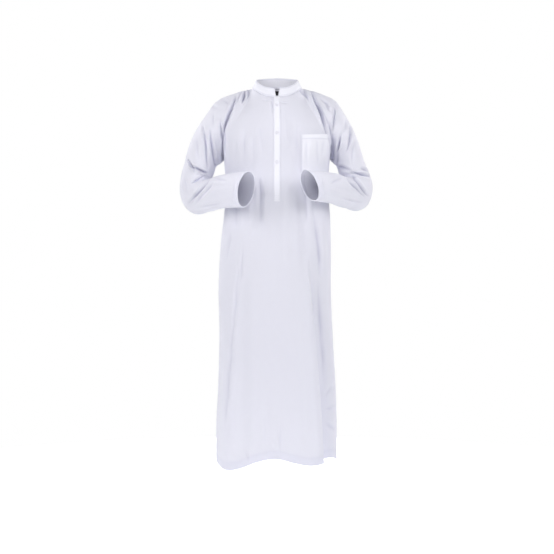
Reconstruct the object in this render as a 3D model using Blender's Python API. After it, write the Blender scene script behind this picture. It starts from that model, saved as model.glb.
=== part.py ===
"""A white thobe in the pose it is worn in: front, back, two sleeves, collar, placket, pocket and buttons.

Metres, +Z up, front towards -Y. The origin lies between the shoulders, level with the sides of the neck.
"""

import math

import bpy
import numpy as np
from mathutils import Vector
from mathutils.geometry import tessellate_polygon

# Cloth and seams
CLOTH = 0.0015
HEM_CLOTH = 0.0026
COLLAR_CLOTH = 0.0022
SEAM_GAP = 0.0003
BODY_HEM = 0.025
HEM_STEP = 0.003

# Heights of the landmarks
HEM_HEIGHT = -1.238
PLACKET_BOTTOM = -0.385
SLIT_BOTTOM = -0.372
POCKET_BOTTOM = -0.291
UNDERARM_HEIGHT = -0.240

# Share of the way from the underarm to the neck at which the pocket ends
POCKET_TOP_SHARE = 0.32
POCKET_HEM_SHARE = 0.27

# Half widths of the slit down the front, of the strip over it, and of the gap between the collar's ends
SLIT_HALF = 0.0033
PLACKET_HALF = 0.0105
COLLAR_GAP_TOP_HALF = 0.0080

# How square a section of the body is: 2 is an ellipse
SQUARENESS = 2.5

# Sections of the body: height, half width towards -X, half width towards +X, front depth, back depth
BODY = (
    (-1.240, 0.203, 0.200, 0.150, 0.150),
    (-1.110, 0.202, 0.199, 0.146, 0.146),
    (-0.990, 0.196, 0.195, 0.141, 0.141),
    (-0.830, 0.192, 0.186, 0.134, 0.134),
    (-0.670, 0.195, 0.180, 0.129, 0.128),
    (-0.510, 0.186, 0.179, 0.125, 0.122),
    (-0.430, 0.177, 0.177, 0.122, 0.119),
    (-0.330, 0.170, 0.171, 0.120, 0.117),
    (-0.240, 0.176, 0.176, 0.120, 0.116),
)

# Middle of the front and of the back, from the underarm to the neck: X, depth, height
FRONT_MIDDLE = (
    (0.0, -0.120, -0.240),
    (0.0, -0.119, -0.172),
    (0.0, -0.111, -0.110),
    (0.0, -0.099, -0.070),
    (0.0, -0.085, -0.043),
)
BACK_MIDDLE = (
    (0.0, 0.116, -0.240),
    (0.0, 0.118, -0.150),
    (0.0, 0.104, -0.070),
    (0.0, 0.085, -0.020),
    (0.0, 0.068, 0.010),
)

# Armhole seams from the underarm to the top of the shoulder: distance from the middle, depth, height
FRONT_ARMHOLE = (
    (0.176, 0.000, -0.240),
    (0.180, -0.030, -0.205),
    (0.177, -0.050, -0.160),
    (0.166, -0.060, -0.120),
    (0.148, -0.058, -0.080),
    (0.131, -0.040, -0.046),
    (0.116, 0.004, -0.008),
)
BACK_ARMHOLE = (
    (0.176, 0.000, -0.240),
    (0.178, 0.034, -0.205),
    (0.171, 0.060, -0.155),
    (0.159, 0.070, -0.110),
    (0.144, 0.064, -0.066),
    (0.129, 0.044, -0.030),
    (0.116, 0.004, -0.008),
)

# Base and top of the collar from the front to the back: angle, half width, depth, height
NECK_BASE = (
    (0.0, 0.000, -0.085, -0.043),
    (30.0, 0.042, -0.073, -0.034),
    (60.0, 0.072, -0.041, -0.014),
    (90.0, 0.083, 0.004, 0.000),
    (135.0, 0.060, 0.050, 0.006),
    (180.0, 0.000, 0.068, 0.010),
)
NECK_TOP = (
    (0.0, 0.000, -0.070, -0.013),
    (30.0, 0.036, -0.059, -0.006),
    (60.0, 0.060, -0.033, 0.010),
    (90.0, 0.069, 0.003, 0.026),
    (135.0, 0.050, 0.041, 0.037),
    (180.0, 0.000, 0.056, 0.043),
)
COLLAR_ROWS = 4

# Arms from the upper arm to the cuff: distance from the middle, depth, height, radius on the outside
# of the bend, radius on its inside, radius across, the outside of the bend as X, Y and Z, and how far
# the ring slants
ARM_RIGHT = (
    (0.2570, 0.004, -0.262, 0.053, 0.050, 0.054, 1.00, 0.00, 0.00, 0.00),
    (0.2640, 0.004, -0.305, 0.060, 0.045, 0.052, 0.90, 0.20, -0.40, 0.00),
    (0.2550, -0.014, -0.342, 0.082, 0.038, 0.048, 0.62, 0.45, -0.80, 0.00),
    (0.2290, -0.046, -0.354, 0.065, 0.044, 0.042, 0.20, 0.20, -0.95, 0.00),
    (0.1850, -0.095, -0.354, 0.056, 0.053, 0.038, 0.00, 0.00, -1.00, 0.00),
    (0.1350, -0.150, -0.353, 0.056, 0.055, 0.036, 0.00, 0.00, -1.00, 0.15),
    (0.0980, -0.190, -0.353, 0.057, 0.056, 0.036, 0.00, 0.00, -1.00, 0.25),
)
ARM_LEFT = (
    (0.2460, 0.004, -0.256, 0.047, 0.046, 0.053, 1.00, 0.00, 0.00, 0.00),
    (0.2570, 0.004, -0.298, 0.056, 0.045, 0.051, 0.90, 0.20, -0.40, 0.00),
    (0.2550, -0.014, -0.332, 0.080, 0.037, 0.047, 0.62, 0.45, -0.80, 0.00),
    (0.2290, -0.046, -0.345, 0.062, 0.042, 0.041, 0.20, 0.20, -0.95, 0.00),
    (0.1850, -0.095, -0.344, 0.050, 0.050, 0.037, 0.00, 0.00, -1.00, 0.00),
    (0.1400, -0.145, -0.342, 0.048, 0.049, 0.035, 0.00, 0.00, -1.00, 0.30),
    (0.1040, -0.184, -0.341, 0.048, 0.049, 0.035, 0.00, 0.00, -1.00, 0.48),
)
SHOULDER_RINGS = 9
ARM_RINGS = 17
SHOULDER_PULL = 1.32
ARM_PULL = 0.98
SHOULDER_TOP_WAY = (0.93, 0.0, -0.37)
SHOULDER_POINT = 0.010
SHOULDER_POINT_WAY = (0.6, 0.0, 0.8)
SHOULDER_POINT_PLACE = 0.24
SHOULDER_POINT_REACH = 0.13
UNDERARM_WAY = (0.62, 0.0, -0.78)

# Long folds: X and height of the upper end, X and height of the lower end, half width, depth (below
# zero for a trough), and the length over which each end fades out
FRONT_FOLDS = (
    (0.078, -0.300, 0.098, -0.660, 0.018, -0.010, 0.12),
    (0.112, -0.400, 0.142, -0.680, 0.018, -0.009, 0.10),
    (0.094, -0.620, 0.140, -1.300, 0.020, 0.010, 0.20),
    (-0.064, -0.360, -0.052, -0.520, 0.016, -0.006, 0.09),
    (-0.148, -0.420, -0.124, -0.500, 0.014, -0.006, 0.05),
    (-0.120, -0.520, -0.108, -1.300, 0.030, -0.009, 0.22),
    (-0.156, -0.900, -0.160, -1.300, 0.026, 0.010, 0.20),
    (-0.040, -0.800, -0.036, -1.300, 0.034, -0.009, 0.26),
    (0.030, -0.900, 0.034, -1.300, 0.030, -0.006, 0.24),
    (-0.100, -0.090, -0.096, -0.230, 0.022, -0.006, 0.08),
    (0.062, -0.090, 0.060, -0.230, 0.018, -0.005, 0.08),
)
BACK_FOLDS = (
    (0.060, -0.380, 0.092, -1.300, 0.026, -0.014, 0.20),
    (-0.070, -0.420, -0.100, -1.300, 0.028, -0.015, 0.22),
    (0.006, -0.500, -0.010, -1.300, 0.034, 0.012, 0.24),
    (0.140, -0.500, 0.160, -1.300, 0.024, 0.010, 0.22),
    (-0.145, -0.450, -0.160, -1.300, 0.026, 0.011, 0.22),
    (-0.030, -0.100, -0.020, -0.330, 0.026, -0.006, 0.10),
    (0.100, -0.090, 0.110, -0.340, 0.022, -0.006, 0.10),
)

# The deep fold on the wearer's left, where the front laps over the side: height, X of its edge, how
# far the cloth behind the edge steps back, and how far it tucks in under the edge
LAP = (
    (-1.300, 0.1545, 0.062, 0.010),
    (-1.110, 0.1440, 0.058, 0.010),
    (-0.990, 0.1350, 0.052, 0.009),
    (-0.840, 0.1210, 0.044, 0.008),
    (-0.720, 0.1090, 0.032, 0.006),
    (-0.640, 0.1020, 0.016, 0.002),
    (-0.560, 0.0980, 0.000, 0.000),
)
LAP_WIDTH = 0.013
LAP_TOP = -0.560

# The hem against its level, over the front from the side at -X (-1) to the side at +X (1), and the back
HEM_FRONT = (
    (-1.00, 0.008),
    (-0.78, -0.011),
    (-0.58, -0.024),
    (-0.40, -0.013),
    (-0.24, 0.006),
    (0.00, 0.018),
    (0.20, 0.004),
    (0.40, -0.006),
    (0.55, -0.001),
    (0.66, 0.007),
    (1.00, -0.010),
)
HEM_BACK = ((-1.0, 0.008), (-0.5, -0.002), (0.0, 0.002), (0.5, -0.006), (1.0, -0.010))
HEM_REACH = 0.22

# Columns from the front strip to the side, and those of them up to each landmark
COLUMNS_RIGHT = (9, 3)
COLUMNS_LEFT = (5, 8, 3)
COLUMNS_BACK = (8, 3)
SKIRT_ROWS = 21
POCKET_ROWS = 3
SHOULDER_ROWS = 7
SAMPLES = 160

# Softening of the panels at the underarm: its width from the seams, its reach in rows, and its passes
EASE_WIDTH = 0.4
EASE_ROWS = 3.0
EASE_PASSES = 4

# The pocket's edges as shares of the way from the middle to the side, at its bottom and its top
POCKET_INNER = (0.33, 0.40)
POCKET_OUTER = (0.80, 0.94)

# Columns gather round the deep fold below this height, this far before and behind its edge
GATHER_HEIGHT = -0.620
GATHER_BEFORE = 0.022
GATHER_BEHIND = 0.042

BUTTON_RADIUS = 0.0058
BUTTON_THICKNESS = 0.0022
BUTTON_SIDES = 16
BUTTON_HOLE = 0.0009
BUTTON_HOLE_SIDES = 6
BUTTON_HOLE_PLACE = 0.0018
BUTTON_HOLE_TURN = 0.2
BUTTON_HEIGHTS = (-0.071, -0.165, -0.260)

# Colour and roughness
WHITE_CLOTH = ((0.86, 0.87, 0.91), 0.85)
BLACK_CLOTH = ((0.012, 0.011, 0.014), 0.90)
BUTTON_WHITE = ((0.90, 0.90, 0.92), 0.35)


def smooth_step(t):
    t = np.clip(t, 0.0, 1.0)
    return t * t * (3 - 2 * t)


def read(table, column, at):
    """One column of a table, read smoothly at values of its first column."""
    rows = sorted(table)
    keys = np.array([row[0] for row in rows])
    values = np.array([row[column] for row in rows])
    slopes = np.gradient(values, keys)
    at = np.clip(np.asarray(at, float), keys[0], keys[-1])
    index = np.clip(np.searchsorted(keys, at, side="right") - 1, 0, len(keys) - 2)
    span = keys[index + 1] - keys[index]
    t = (at - keys[index]) / span
    return (
        values[index] * (1 + 2 * t) * (1 - t) ** 2
        + slopes[index] * span * t * (1 - t) ** 2
        + values[index + 1] * t * t * (3 - 2 * t)
        - slopes[index + 1] * span * t * t * (1 - t)
    )


def run_lengths(points):
    """Distance along a polyline to each of its points."""
    steps = np.linalg.norm(np.diff(points, axis=0), axis=1)
    return np.concatenate([[0.0], np.cumsum(steps)])


def along(points, shares):
    """Points at these shares of a polyline's length."""
    lengths = run_lengths(points)
    wanted = np.asarray(shares, float) * lengths[-1]
    return np.stack([np.interp(wanted, lengths, points[:, i]) for i in range(3)], axis=-1)


def spline(table, count):
    """Evenly spaced rows on the smooth curve through a table whose first three columns are a place."""
    table = np.asarray(table, float)
    lengths = run_lengths(table[:, :3])
    keyed = [(length, *row) for length, row in zip(lengths, table)]
    at = np.linspace(0.0, lengths[-1], count)
    return np.stack([read(keyed, i + 1, at) for i in range(table.shape[1])], axis=1)


def unit(vectors):
    return vectors / np.maximum(np.linalg.norm(vectors, axis=-1, keepdims=True), 1e-12)


def body_half(height, side, facing):
    """Half a section of the body, from its middle to the side seam."""
    width = read(BODY, 1 if side < 0 else 2, height)
    depth = read(BODY, 3 if facing < 0 else 4, height)
    angle = np.linspace(0.0, math.pi / 2, SAMPLES)
    power = 2 / SQUARENESS
    x = side * width * np.sin(angle) ** power
    y = facing * depth * np.cos(angle) ** power
    return np.stack([x, y, np.full(SAMPLES, float(height))], axis=1)


def neck_curve(table, side, facing):
    """The quarter of a neck curve from the middle of the front or back to the side of the neck."""
    angles = np.linspace(0.0 if facing < 0 else 180.0, 90.0, SAMPLES)
    points = np.stack([read(table, i, angles) for i in (1, 2, 3)], axis=1)
    return points * (side, 1.0, 1.0)


def top_half(side, facing):
    """Half the top edge of a panel: round the neck, then along the shoulder to the armhole seam."""
    neck = neck_curve(NECK_BASE, side, facing)
    seam = np.array(FRONT_ARMHOLE[-1]) * (side, 1.0, 1.0)
    shoulder = neck[-1] + np.linspace(0.0, 1.0, SAMPLES // 4)[1:, None] * (seam - neck[-1])
    return np.concatenate([neck, shoulder])


def cut_section(middle, seam):
    """The part of a body section between its middle and an armhole seam, level between their heights."""
    reach = abs(seam[1] / middle[1]) if seam[1] * middle[1] > 0 else 0.0
    width = abs(seam[0]) / (1 - reach**SQUARENESS) ** (1 / SQUARENESS)
    end = math.asin(min(1.0, abs(seam[0]) / width) ** (SQUARENESS / 2))
    angle = np.linspace(0.0, end, SAMPLES)
    power = 2 / SQUARENESS
    x = math.copysign(width, seam[0]) * np.sin(angle) ** power
    y = middle[1] * np.cos(angle) ** power
    share = angle / end
    y = y + (seam[1] - y[-1]) * share**2
    return np.stack([x, y, middle[2] + (seam[2] - middle[2]) * share], axis=1)


def upper_half(t, side, facing):
    """Half a panel's row, a share t of the way from the underarm up to its top edge."""
    middle_line = spline(FRONT_MIDDLE if facing < 0 else BACK_MIDDLE, SAMPLES)
    seam_line = spline(FRONT_ARMHOLE if facing < 0 else BACK_ARMHOLE, SAMPLES)
    middle = along(middle_line, t)
    seam = along(seam_line, t) * (side, 1.0, 1.0)
    shares = np.linspace(0.0, 1.0, SAMPLES)
    row = along(cut_section(middle, seam), shares)
    last = cut_section(middle_line[-1], seam_line[-1] * (side, 1.0, 1.0))
    lift = along(top_half(side, facing), shares) - along(last, shares)
    return row + smooth_step((t - 0.25) / 0.75) * lift


def row_keys():
    """Every row of a panel from the hem up: its height, and its share of the way above the underarm."""
    hem = [HEM_HEIGHT, HEM_HEIGHT + BODY_HEM, HEM_HEIGHT + BODY_HEM + HEM_STEP]
    skirt = np.linspace(hem[-1], PLACKET_BOTTOM, SKIRT_ROWS + 1)[1:]
    waist = [SLIT_BOTTOM, (SLIT_BOTTOM + POCKET_BOTTOM) / 2, POCKET_BOTTOM]
    chest = [(POCKET_BOTTOM + UNDERARM_HEIGHT) / 2, UNDERARM_HEIGHT]
    pocket = list(np.linspace(0.0, POCKET_HEM_SHARE, POCKET_ROWS)[1:]) + [POCKET_TOP_SHARE]
    shoulder = np.linspace(POCKET_TOP_SHARE, 1.0, SHOULDER_ROWS + 1)[1:]
    rows = [(height, 0.0) for height in (*hem, *skirt, *waist, *chest)]
    return rows + [(UNDERARM_HEIGHT, share) for share in (*pocket, *shoulder)]


def spread(stops, counts):
    """Shares that run through these stops with these numbers of columns between them."""
    shares = [stops[0]]
    for start, end, count in zip(stops, stops[1:], counts):
        shares.extend(np.linspace(start, end, count + 1)[1:])
    return shares


def neck_share(side, facing):
    """The share of a panel's top edge that runs round the neck."""
    return run_lengths(neck_curve(NECK_BASE, side, facing))[-1] / run_lengths(top_half(side, facing))[-1]


def column_shares(half, height, t, side, facing):
    """Shares of the way from the middle to the side at which a row's columns lie."""
    length = run_lengths(half)[-1]
    neck = neck_share(side, facing)
    if facing > 0:
        corner = COLUMNS_BACK[0] / sum(COLUMNS_BACK)
        return spread([0.0, corner + (neck - corner) * t, 1.0], COLUMNS_BACK)
    edge = PLACKET_HALF / length
    if side < 0:
        corner = COLUMNS_RIGHT[0] / sum(COLUMNS_RIGHT)
        stops = [edge, corner + (neck - corner) * t, 1.0]
        return [SLIT_HALF / length] + spread(stops, COLUMNS_RIGHT)
    rise = t / POCKET_TOP_SHARE
    if rise <= 1.0:
        inner = POCKET_INNER[0] + (POCKET_INNER[1] - POCKET_INNER[0]) * rise
        outer = POCKET_OUTER[0] + (POCKET_OUTER[1] - POCKET_OUTER[0]) * rise
    else:
        past = (t - POCKET_TOP_SHARE) / (1 - POCKET_TOP_SHARE)
        inner = POCKET_INNER[1]
        outer = POCKET_OUTER[1] + (neck - POCKET_OUTER[1]) * past
    lengths = run_lengths(half)
    crease = np.interp(read(LAP, 1, max(height, LAP[0][0])), half[:, 0], lengths)
    gather = smooth_step((POCKET_BOTTOM - height) / (POCKET_BOTTOM - GATHER_HEIGHT))
    inner += ((crease - GATHER_BEFORE) / length - inner) * gather
    outer += ((crease + GATHER_BEHIND) / length - outer) * gather
    return [SLIT_HALF / length] + spread([edge, inner, outer, 1.0], COLUMNS_LEFT)


def plain_panel(facing):
    """A panel's points before its folds, rows from the hem up, columns from left to right as seen."""
    rows = []
    for height, t in row_keys():
        halves = {}
        for side in (-1, 1):
            half = upper_half(t, side, facing) if t > 0 else body_half(height, side, facing)
            halves[side] = along(half, column_shares(half, height, t, side, facing))
        if facing < 0:
            rows.append(np.concatenate([halves[-1][::-1], halves[1]]))
        else:
            rows.append(np.concatenate([halves[1][::-1], halves[-1][1:]]))
    return np.array(rows)


def eased(grid):
    """The points of a panel with the bend at the underarm's height softened, but for those at its seams."""
    columns = np.linspace(-1.0, 1.0, grid.shape[1])
    keep = 1 - smooth_step((1 - np.abs(columns)) / EASE_WIDTH)
    near = np.exp(-(((np.arange(len(grid)) - UNDERARM_ROW) / EASE_ROWS) ** 2))
    soft = (near[:, None] * (1 - keep))[1:-1, :, None]
    for _ in range(EASE_PASSES):
        between = (grid[:-2] + grid[2:]) / 2
        grid = np.concatenate([grid[:1], grid[1:-1] + soft * (between - grid[1:-1]) * 0.6, grid[-1:]])
    return grid


def grid_normals(grid):
    """Outward directions of a panel's points."""
    across = np.gradient(grid, axis=1)
    up = np.gradient(grid, axis=0)
    return unit(np.cross(across, up))


def fold_heights(grid, folds):
    """How far the long folds lift each point of a panel."""
    lift = np.zeros(grid.shape[:2])
    for index, row in enumerate(grid):
        lengths = run_lengths(row)
        order = np.argsort(row[:, 0])
        height = row[:, 2].mean()
        for top_x, top, low_x, low, width, depth, fade in folds:
            share = np.clip((top - height) / (top - low), 0.0, 1.0)
            centre = np.interp(top_x + (low_x - top_x) * share, row[order, 0], lengths[order])
            ends = smooth_step((top - height) / fade) * smooth_step((height - low) / fade)
            lift[index] += depth * ends * np.exp(-(((lengths - centre) / width) ** 2))
    return lift


def lap_shift(grid):
    """How the deep fold moves each point of the front: back behind its edge, and in under it."""
    shift = np.zeros(grid.shape)
    for index, row in enumerate(grid):
        height = row[:, 2].mean()
        if height > LAP_TOP:
            continue
        lengths = run_lengths(row)
        edge = np.interp(read(LAP, 1, height), row[:, 0], lengths)
        behind = (lengths - edge) / LAP_WIDTH
        to_side = np.clip((lengths - edge) / (lengths[-1] - edge), 0.0, 1.0)
        shift[index, :, 1] = read(LAP, 2, height) * smooth_step(behind) * (1 - to_side) ** 1.2
        tuck = smooth_step(behind) * (1 - smooth_step((behind - 1.0) / 2.5))
        shift[index, :, 0] = -read(LAP, 3, height) * tuck
    return shift


def hem_shift(grid, table):
    """How far each point of a panel rises or drops for the waves of the hem."""
    shift = np.zeros(grid.shape[:2])
    for index, row in enumerate(grid):
        reach = 1 - smooth_step((row[:, 2].mean() - HEM_HEIGHT) / HEM_REACH)
        toward = 1.0 if row[-1, 0] > 0 else -1.0
        lengths = run_lengths(row)
        order = np.argsort(row[:, 0])
        past = lengths - np.interp(0.0, row[order, 0], lengths[order])
        share = toward * np.where(past < 0, -past / past[0], past / past[-1])
        shift[index] = reach * read(table, 1, share)
    return shift


def panel(facing):
    """A panel's points with its folds, in the middle of its cloth."""
    grid = eased(plain_panel(facing))
    lift = fold_heights(grid, FRONT_FOLDS if facing < 0 else BACK_FOLDS)
    folded = grid + grid_normals(grid) * lift[..., None]
    if facing < 0:
        folded += lap_shift(grid)
    folded[..., 2] += hem_shift(grid, HEM_FRONT if facing < 0 else HEM_BACK)
    return folded


def join_seams(front, back):
    """Gives the back the front's own points along the side seams and the shoulder seams."""
    sides = slice(0, UNDERARM_ROW + 1)
    shoulder = COLUMNS_BACK[1] + 1
    back[sides, 0], back[sides, -1] = front[sides, -1], front[sides, 0]
    back[-1, :shoulder] = front[-1, : -shoulder - 1 : -1]
    back[-1, -shoulder:] = front[-1, shoulder - 1 :: -1]


def arm_rings(table, count, sides):
    """Rings of points round an arm on the +X side, and the way the arm leaves its first ring."""
    rows = spline(table, count)
    centres = rows[:, :3]
    ways = unit(np.gradient(centres, axis=0))
    turns = 2 * math.pi * np.arange(sides) / sides
    start = np.array((1.0, 0.0, 0.0))
    rings = []
    for centre, way, row in zip(centres, ways, rows):
        start = unit(start - way * (start @ way))
        front = np.cross(way, start)
        ring = -np.cos(turns)[:, None] * start + np.sin(turns)[:, None] * front
        bend = unit(row[6:9] - way * (row[6:9] @ way))
        outward = ring @ bend
        across = ring @ np.cross(way, bend)
        radius = np.where(outward > 0, row[3], row[4])
        reach = 1 / np.sqrt((outward / radius) ** 2 + (across / row[5]) ** 2)
        slant = -way * (row[9] * outward * reach)[:, None]
        rings.append(centre + ring * reach[:, None] + slant)
    return np.array(rings), ways[0]


def sleeve(table, front_seam, back_seam, side):
    """A sleeve's rings from its armhole to its cuff, from armhole seams that run from the underarm up."""
    mirror = np.array((side, 1.0, 1.0))
    armhole = np.concatenate([front_seam, back_seam[-2:0:-1]]) * mirror
    rings, way = arm_rings(table, ARM_RINGS, len(armhole))
    turns = 2 * math.pi * np.arange(len(armhole)) / len(armhole)
    height = ((1 - np.cos(turns)) / 2)[:, None]
    leave = unit(np.array(UNDERARM_WAY) * (1 - height) + np.array(SHOULDER_TOP_WAY) * height)
    span = np.linalg.norm(rings[0] - armhole, axis=1)[:, None]
    shoulder = []
    for t in np.linspace(0.0, 1.0, SHOULDER_RINGS + 1)[:-1]:
        ring = armhole * (1 + 2 * t) * (1 - t) ** 2
        ring = ring + leave * span * SHOULDER_PULL * t * (1 - t) ** 2
        ring = ring + rings[0] * t * t * (3 - 2 * t)
        ring = ring - way * span * ARM_PULL * t * t * (1 - t)
        point = SHOULDER_POINT * math.exp(-(((t - SHOULDER_POINT_PLACE) / SHOULDER_POINT_REACH) ** 2))
        shoulder.append(ring + point * height**4 * np.array(SHOULDER_POINT_WAY) * min(1.0, t / 0.1))
    return np.concatenate([np.array(shoulder), rings]) * mirror


def collar_top(side, facing):
    """The collar's top edge over one quarter, with the columns of the panel below it."""
    half = top_half(side, facing)
    neck = neck_share(side, facing)
    shares = np.array(column_shares(half, UNDERARM_HEIGHT, 1.0, side, facing))
    shares = shares[shares < neck + 1e-9] / neck
    return along(neck_curve(NECK_TOP, side, facing), shares)


def collar(front, back):
    """The collar's points: columns from its end at +X round the back to -X, rows from its seam up."""
    tops = {(side, facing): collar_top(side, facing) for side in (-1, 1) for facing in (-1, 1)}
    right, left = len(tops[-1, -1]), len(tops[1, -1])
    behind = len(tops[1, 1])
    middle = FRONT_MIDDLE_COLUMN
    centre = BACK_MIDDLE_COLUMN
    base = [
        front[-1, middle : middle + left],
        back[-1, centre - behind + 2 : centre + behind - 1],
        front[-1, middle - right : middle],
    ]
    top = [tops[1, -1], tops[1, 1][::-1][1:], tops[-1, 1][1:-1], tops[-1, -1][::-1]]
    base, top = np.concatenate(base), np.concatenate(top)
    rows = np.linspace(0.0, 1.0, COLLAR_ROWS + 1)[:, None, None]
    grid = base * (1 - rows) + top * rows
    ends = SLIT_HALF + (COLLAR_GAP_TOP_HALF - SLIT_HALF) * rows[:, 0, 0]
    grid[:, 0, 0], grid[:, -1, 0] = ends, -ends
    return grid


def grid_faces(rows, columns, closed=False, open_cells=()):
    """The faces of a grid of points. closed joins its last column to its first."""
    faces = []
    for row in range(rows - 1):
        for column in range(columns if closed else columns - 1):
            if (row, column) in open_cells:
                continue
            after = (column + 1) % columns
            low, high = row * columns, (row + 1) * columns
            faces.append((low + column, low + after, high + after, high + column))
    return faces


def shared_normals(grids, faces):
    """Outward directions at the points of grids that meet at their seams, the same on both sides of a seam."""
    sizes = [grid.shape[0] * grid.shape[1] for grid in grids]
    points = np.concatenate([grid.reshape(-1, 3) for grid in grids])
    starts = np.cumsum([0, *sizes[:-1]])
    quads = np.concatenate([np.array(face) + start for face, start in zip(faces, starts)])
    _, shared = np.unique(np.round(points, 6), axis=0, return_inverse=True)
    shared = shared.reshape(-1)
    corner = points[quads]
    face_normals = np.cross(corner[:, 2] - corner[:, 0], corner[:, 3] - corner[:, 1])
    sums = np.zeros((shared.max() + 1, 3))
    for place in range(4):
        np.add.at(sums, shared[quads[:, place]], face_normals)
    normals = unit(sums)[shared]
    return [part.reshape(grid.shape) for part, grid in zip(np.split(normals, starts[1:]), grids)]


def drawn_in(points, faces, distance):
    """Points whose outline is moved square to itself towards the inside, to leave the gap of a seam."""
    edges = {(face[i], face[(i + 1) % 4]): face for face in faces for i in range(4)}
    inward = {}
    for (start, end), face in edges.items():
        if (end, start) in edges:
            continue
        corner = points[list(face)]
        normal = np.cross(corner[2] - corner[0], corner[3] - corner[1])
        way = unit(np.cross(normal, points[end] - points[start]))
        inward.setdefault(start, []).append(way)
        inward.setdefault(end, []).append(way)
    moved = points.copy()
    for corner, ways in inward.items():
        moved[corner] += distance * sum(ways) / (1 + ways[0] @ ways[-1])
    return moved


def material(name, look):
    """A plain finish with this colour and roughness."""
    colour, roughness = look
    made = bpy.data.materials.new(name)
    made.use_nodes = True
    shader = made.node_tree.nodes["Principled BSDF"]
    shader.inputs["Base Color"].default_value = (*colour, 1.0)
    shader.inputs["Roughness"].default_value = roughness
    shader.inputs["Metallic"].default_value = 0.0
    return made


def add_piece(name, points, triangles, finish):
    mesh = bpy.data.meshes.new(name)
    mesh.from_pydata([tuple(point) for point in points], [], triangles)
    mesh.shade_smooth()
    mesh.set_sharp_from_angle(angle=math.radians(40))
    mesh.materials.append(finish)
    piece = bpy.data.objects.new(name, mesh)
    bpy.context.scene.collection.objects.link(piece)
    return piece


def add_cloth(name, grid, normals, faces, inside, outside, finish, inset=SEAM_GAP / 2):
    """A closed wall of cloth from a grid of points: its two faces lie inside and outside of the points."""
    plain = grid.reshape(-1, 3)
    points = drawn_in(plain, faces, inset)
    ways = normals.reshape(-1, 3)
    inside = np.broadcast_to(inside, grid.shape[:2]).reshape(-1, 1)
    outside = np.broadcast_to(outside, grid.shape[:2]).reshape(-1, 1)
    count = len(points)
    edges = {(face[i], face[(i + 1) % 4]) for face in faces for i in range(4)}
    triangles = []
    for a, b, c, d in faces:
        triangles += [(a, b, c), (a, c, d)]
        triangles += [(c + count, b + count, a + count), (d + count, c + count, a + count)]
    for a, b in sorted(edges):
        if (b, a) in edges:
            continue
        # Both sides of a seam are cut along the same diagonal, so that a twisted seam keeps its gap
        if tuple(np.round(plain[a], 5)) < tuple(np.round(plain[b], 5)):
            triangles += [(b, a, b + count), (a, a + count, b + count)]
        else:
            triangles += [(b, a, a + count), (b, a + count, b + count)]
    layers = np.concatenate([points + ways * outside, points - ways * inside])
    used = sorted({corner for triangle in triangles for corner in triangle})
    place = {corner: index for index, corner in enumerate(used)}
    triangles = [tuple(place[corner] for corner in triangle) for triangle in triangles]
    return add_piece(name, layers[used], triangles, finish)


def circle(radius, sides, turned, centre=(0.0, 0.0)):
    turns = [turned + 2 * math.pi * i / sides for i in range(sides)]
    return [(centre[0] + radius * math.cos(turn), centre[1] + radius * math.sin(turn)) for turn in turns]


def add_button(name, base, way, finish):
    """A flat button with four holes that lies on the strip, its back at base and facing along way."""
    rims = [circle(BUTTON_RADIUS, BUTTON_SIDES, 0.0)]
    for x in (-BUTTON_HOLE_PLACE, BUTTON_HOLE_PLACE):
        for z in (-BUTTON_HOLE_PLACE, BUTTON_HOLE_PLACE):
            rims.append(circle(BUTTON_HOLE, BUTTON_HOLE_SIDES, BUTTON_HOLE_TURN, (x, z))[::-1])
    flat = [point for rim in rims for point in rim]
    count = len(flat)
    right = unit(np.cross(way, (0.0, 0.0, 1.0)) * -1.0)
    up = np.cross(right, -way)
    back = [base + right * x + up * z for x, z in flat]
    face = [point + way * BUTTON_THICKNESS for point in back]
    caps = tessellate_polygon([[Vector((*point, 0.0)) for point in rim] for rim in rims])
    triangles = []
    for a, b, c in caps:
        turn = np.cross(np.subtract(flat[b], flat[a]), np.subtract(flat[c], flat[a]))
        a, b, c = (a, b, c) if turn > 0 else (a, c, b)
        triangles += [(a + count, b + count, c + count), (a, c, b)]
    start = 0
    for rim in rims:
        for i in range(len(rim)):
            a, b = start + i, start + (i + 1) % len(rim)
            triangles += [(a, b, b + count), (a, b + count, a + count)]
        start += len(rim)
    return add_piece(name, np.array(back + face), triangles, finish)


# Columns and rows of the front at which smaller pieces begin and end
FRONT_MIDDLE_COLUMN = sum(COLUMNS_RIGHT) + 2
BACK_MIDDLE_COLUMN = sum(COLUMNS_BACK)
POCKET_FIRST_COLUMN = FRONT_MIDDLE_COLUMN + 1 + COLUMNS_LEFT[0]
POCKET_LAST_COLUMN = POCKET_FIRST_COLUMN + COLUMNS_LEFT[1]
PLACKET_FIRST_ROW = 2 + SKIRT_ROWS
SLIT_FIRST_ROW = PLACKET_FIRST_ROW + 1
POCKET_FIRST_ROW = PLACKET_FIRST_ROW + 3
UNDERARM_ROW = POCKET_FIRST_ROW + 2
POCKET_LAST_ROW = UNDERARM_ROW + POCKET_ROWS


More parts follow.
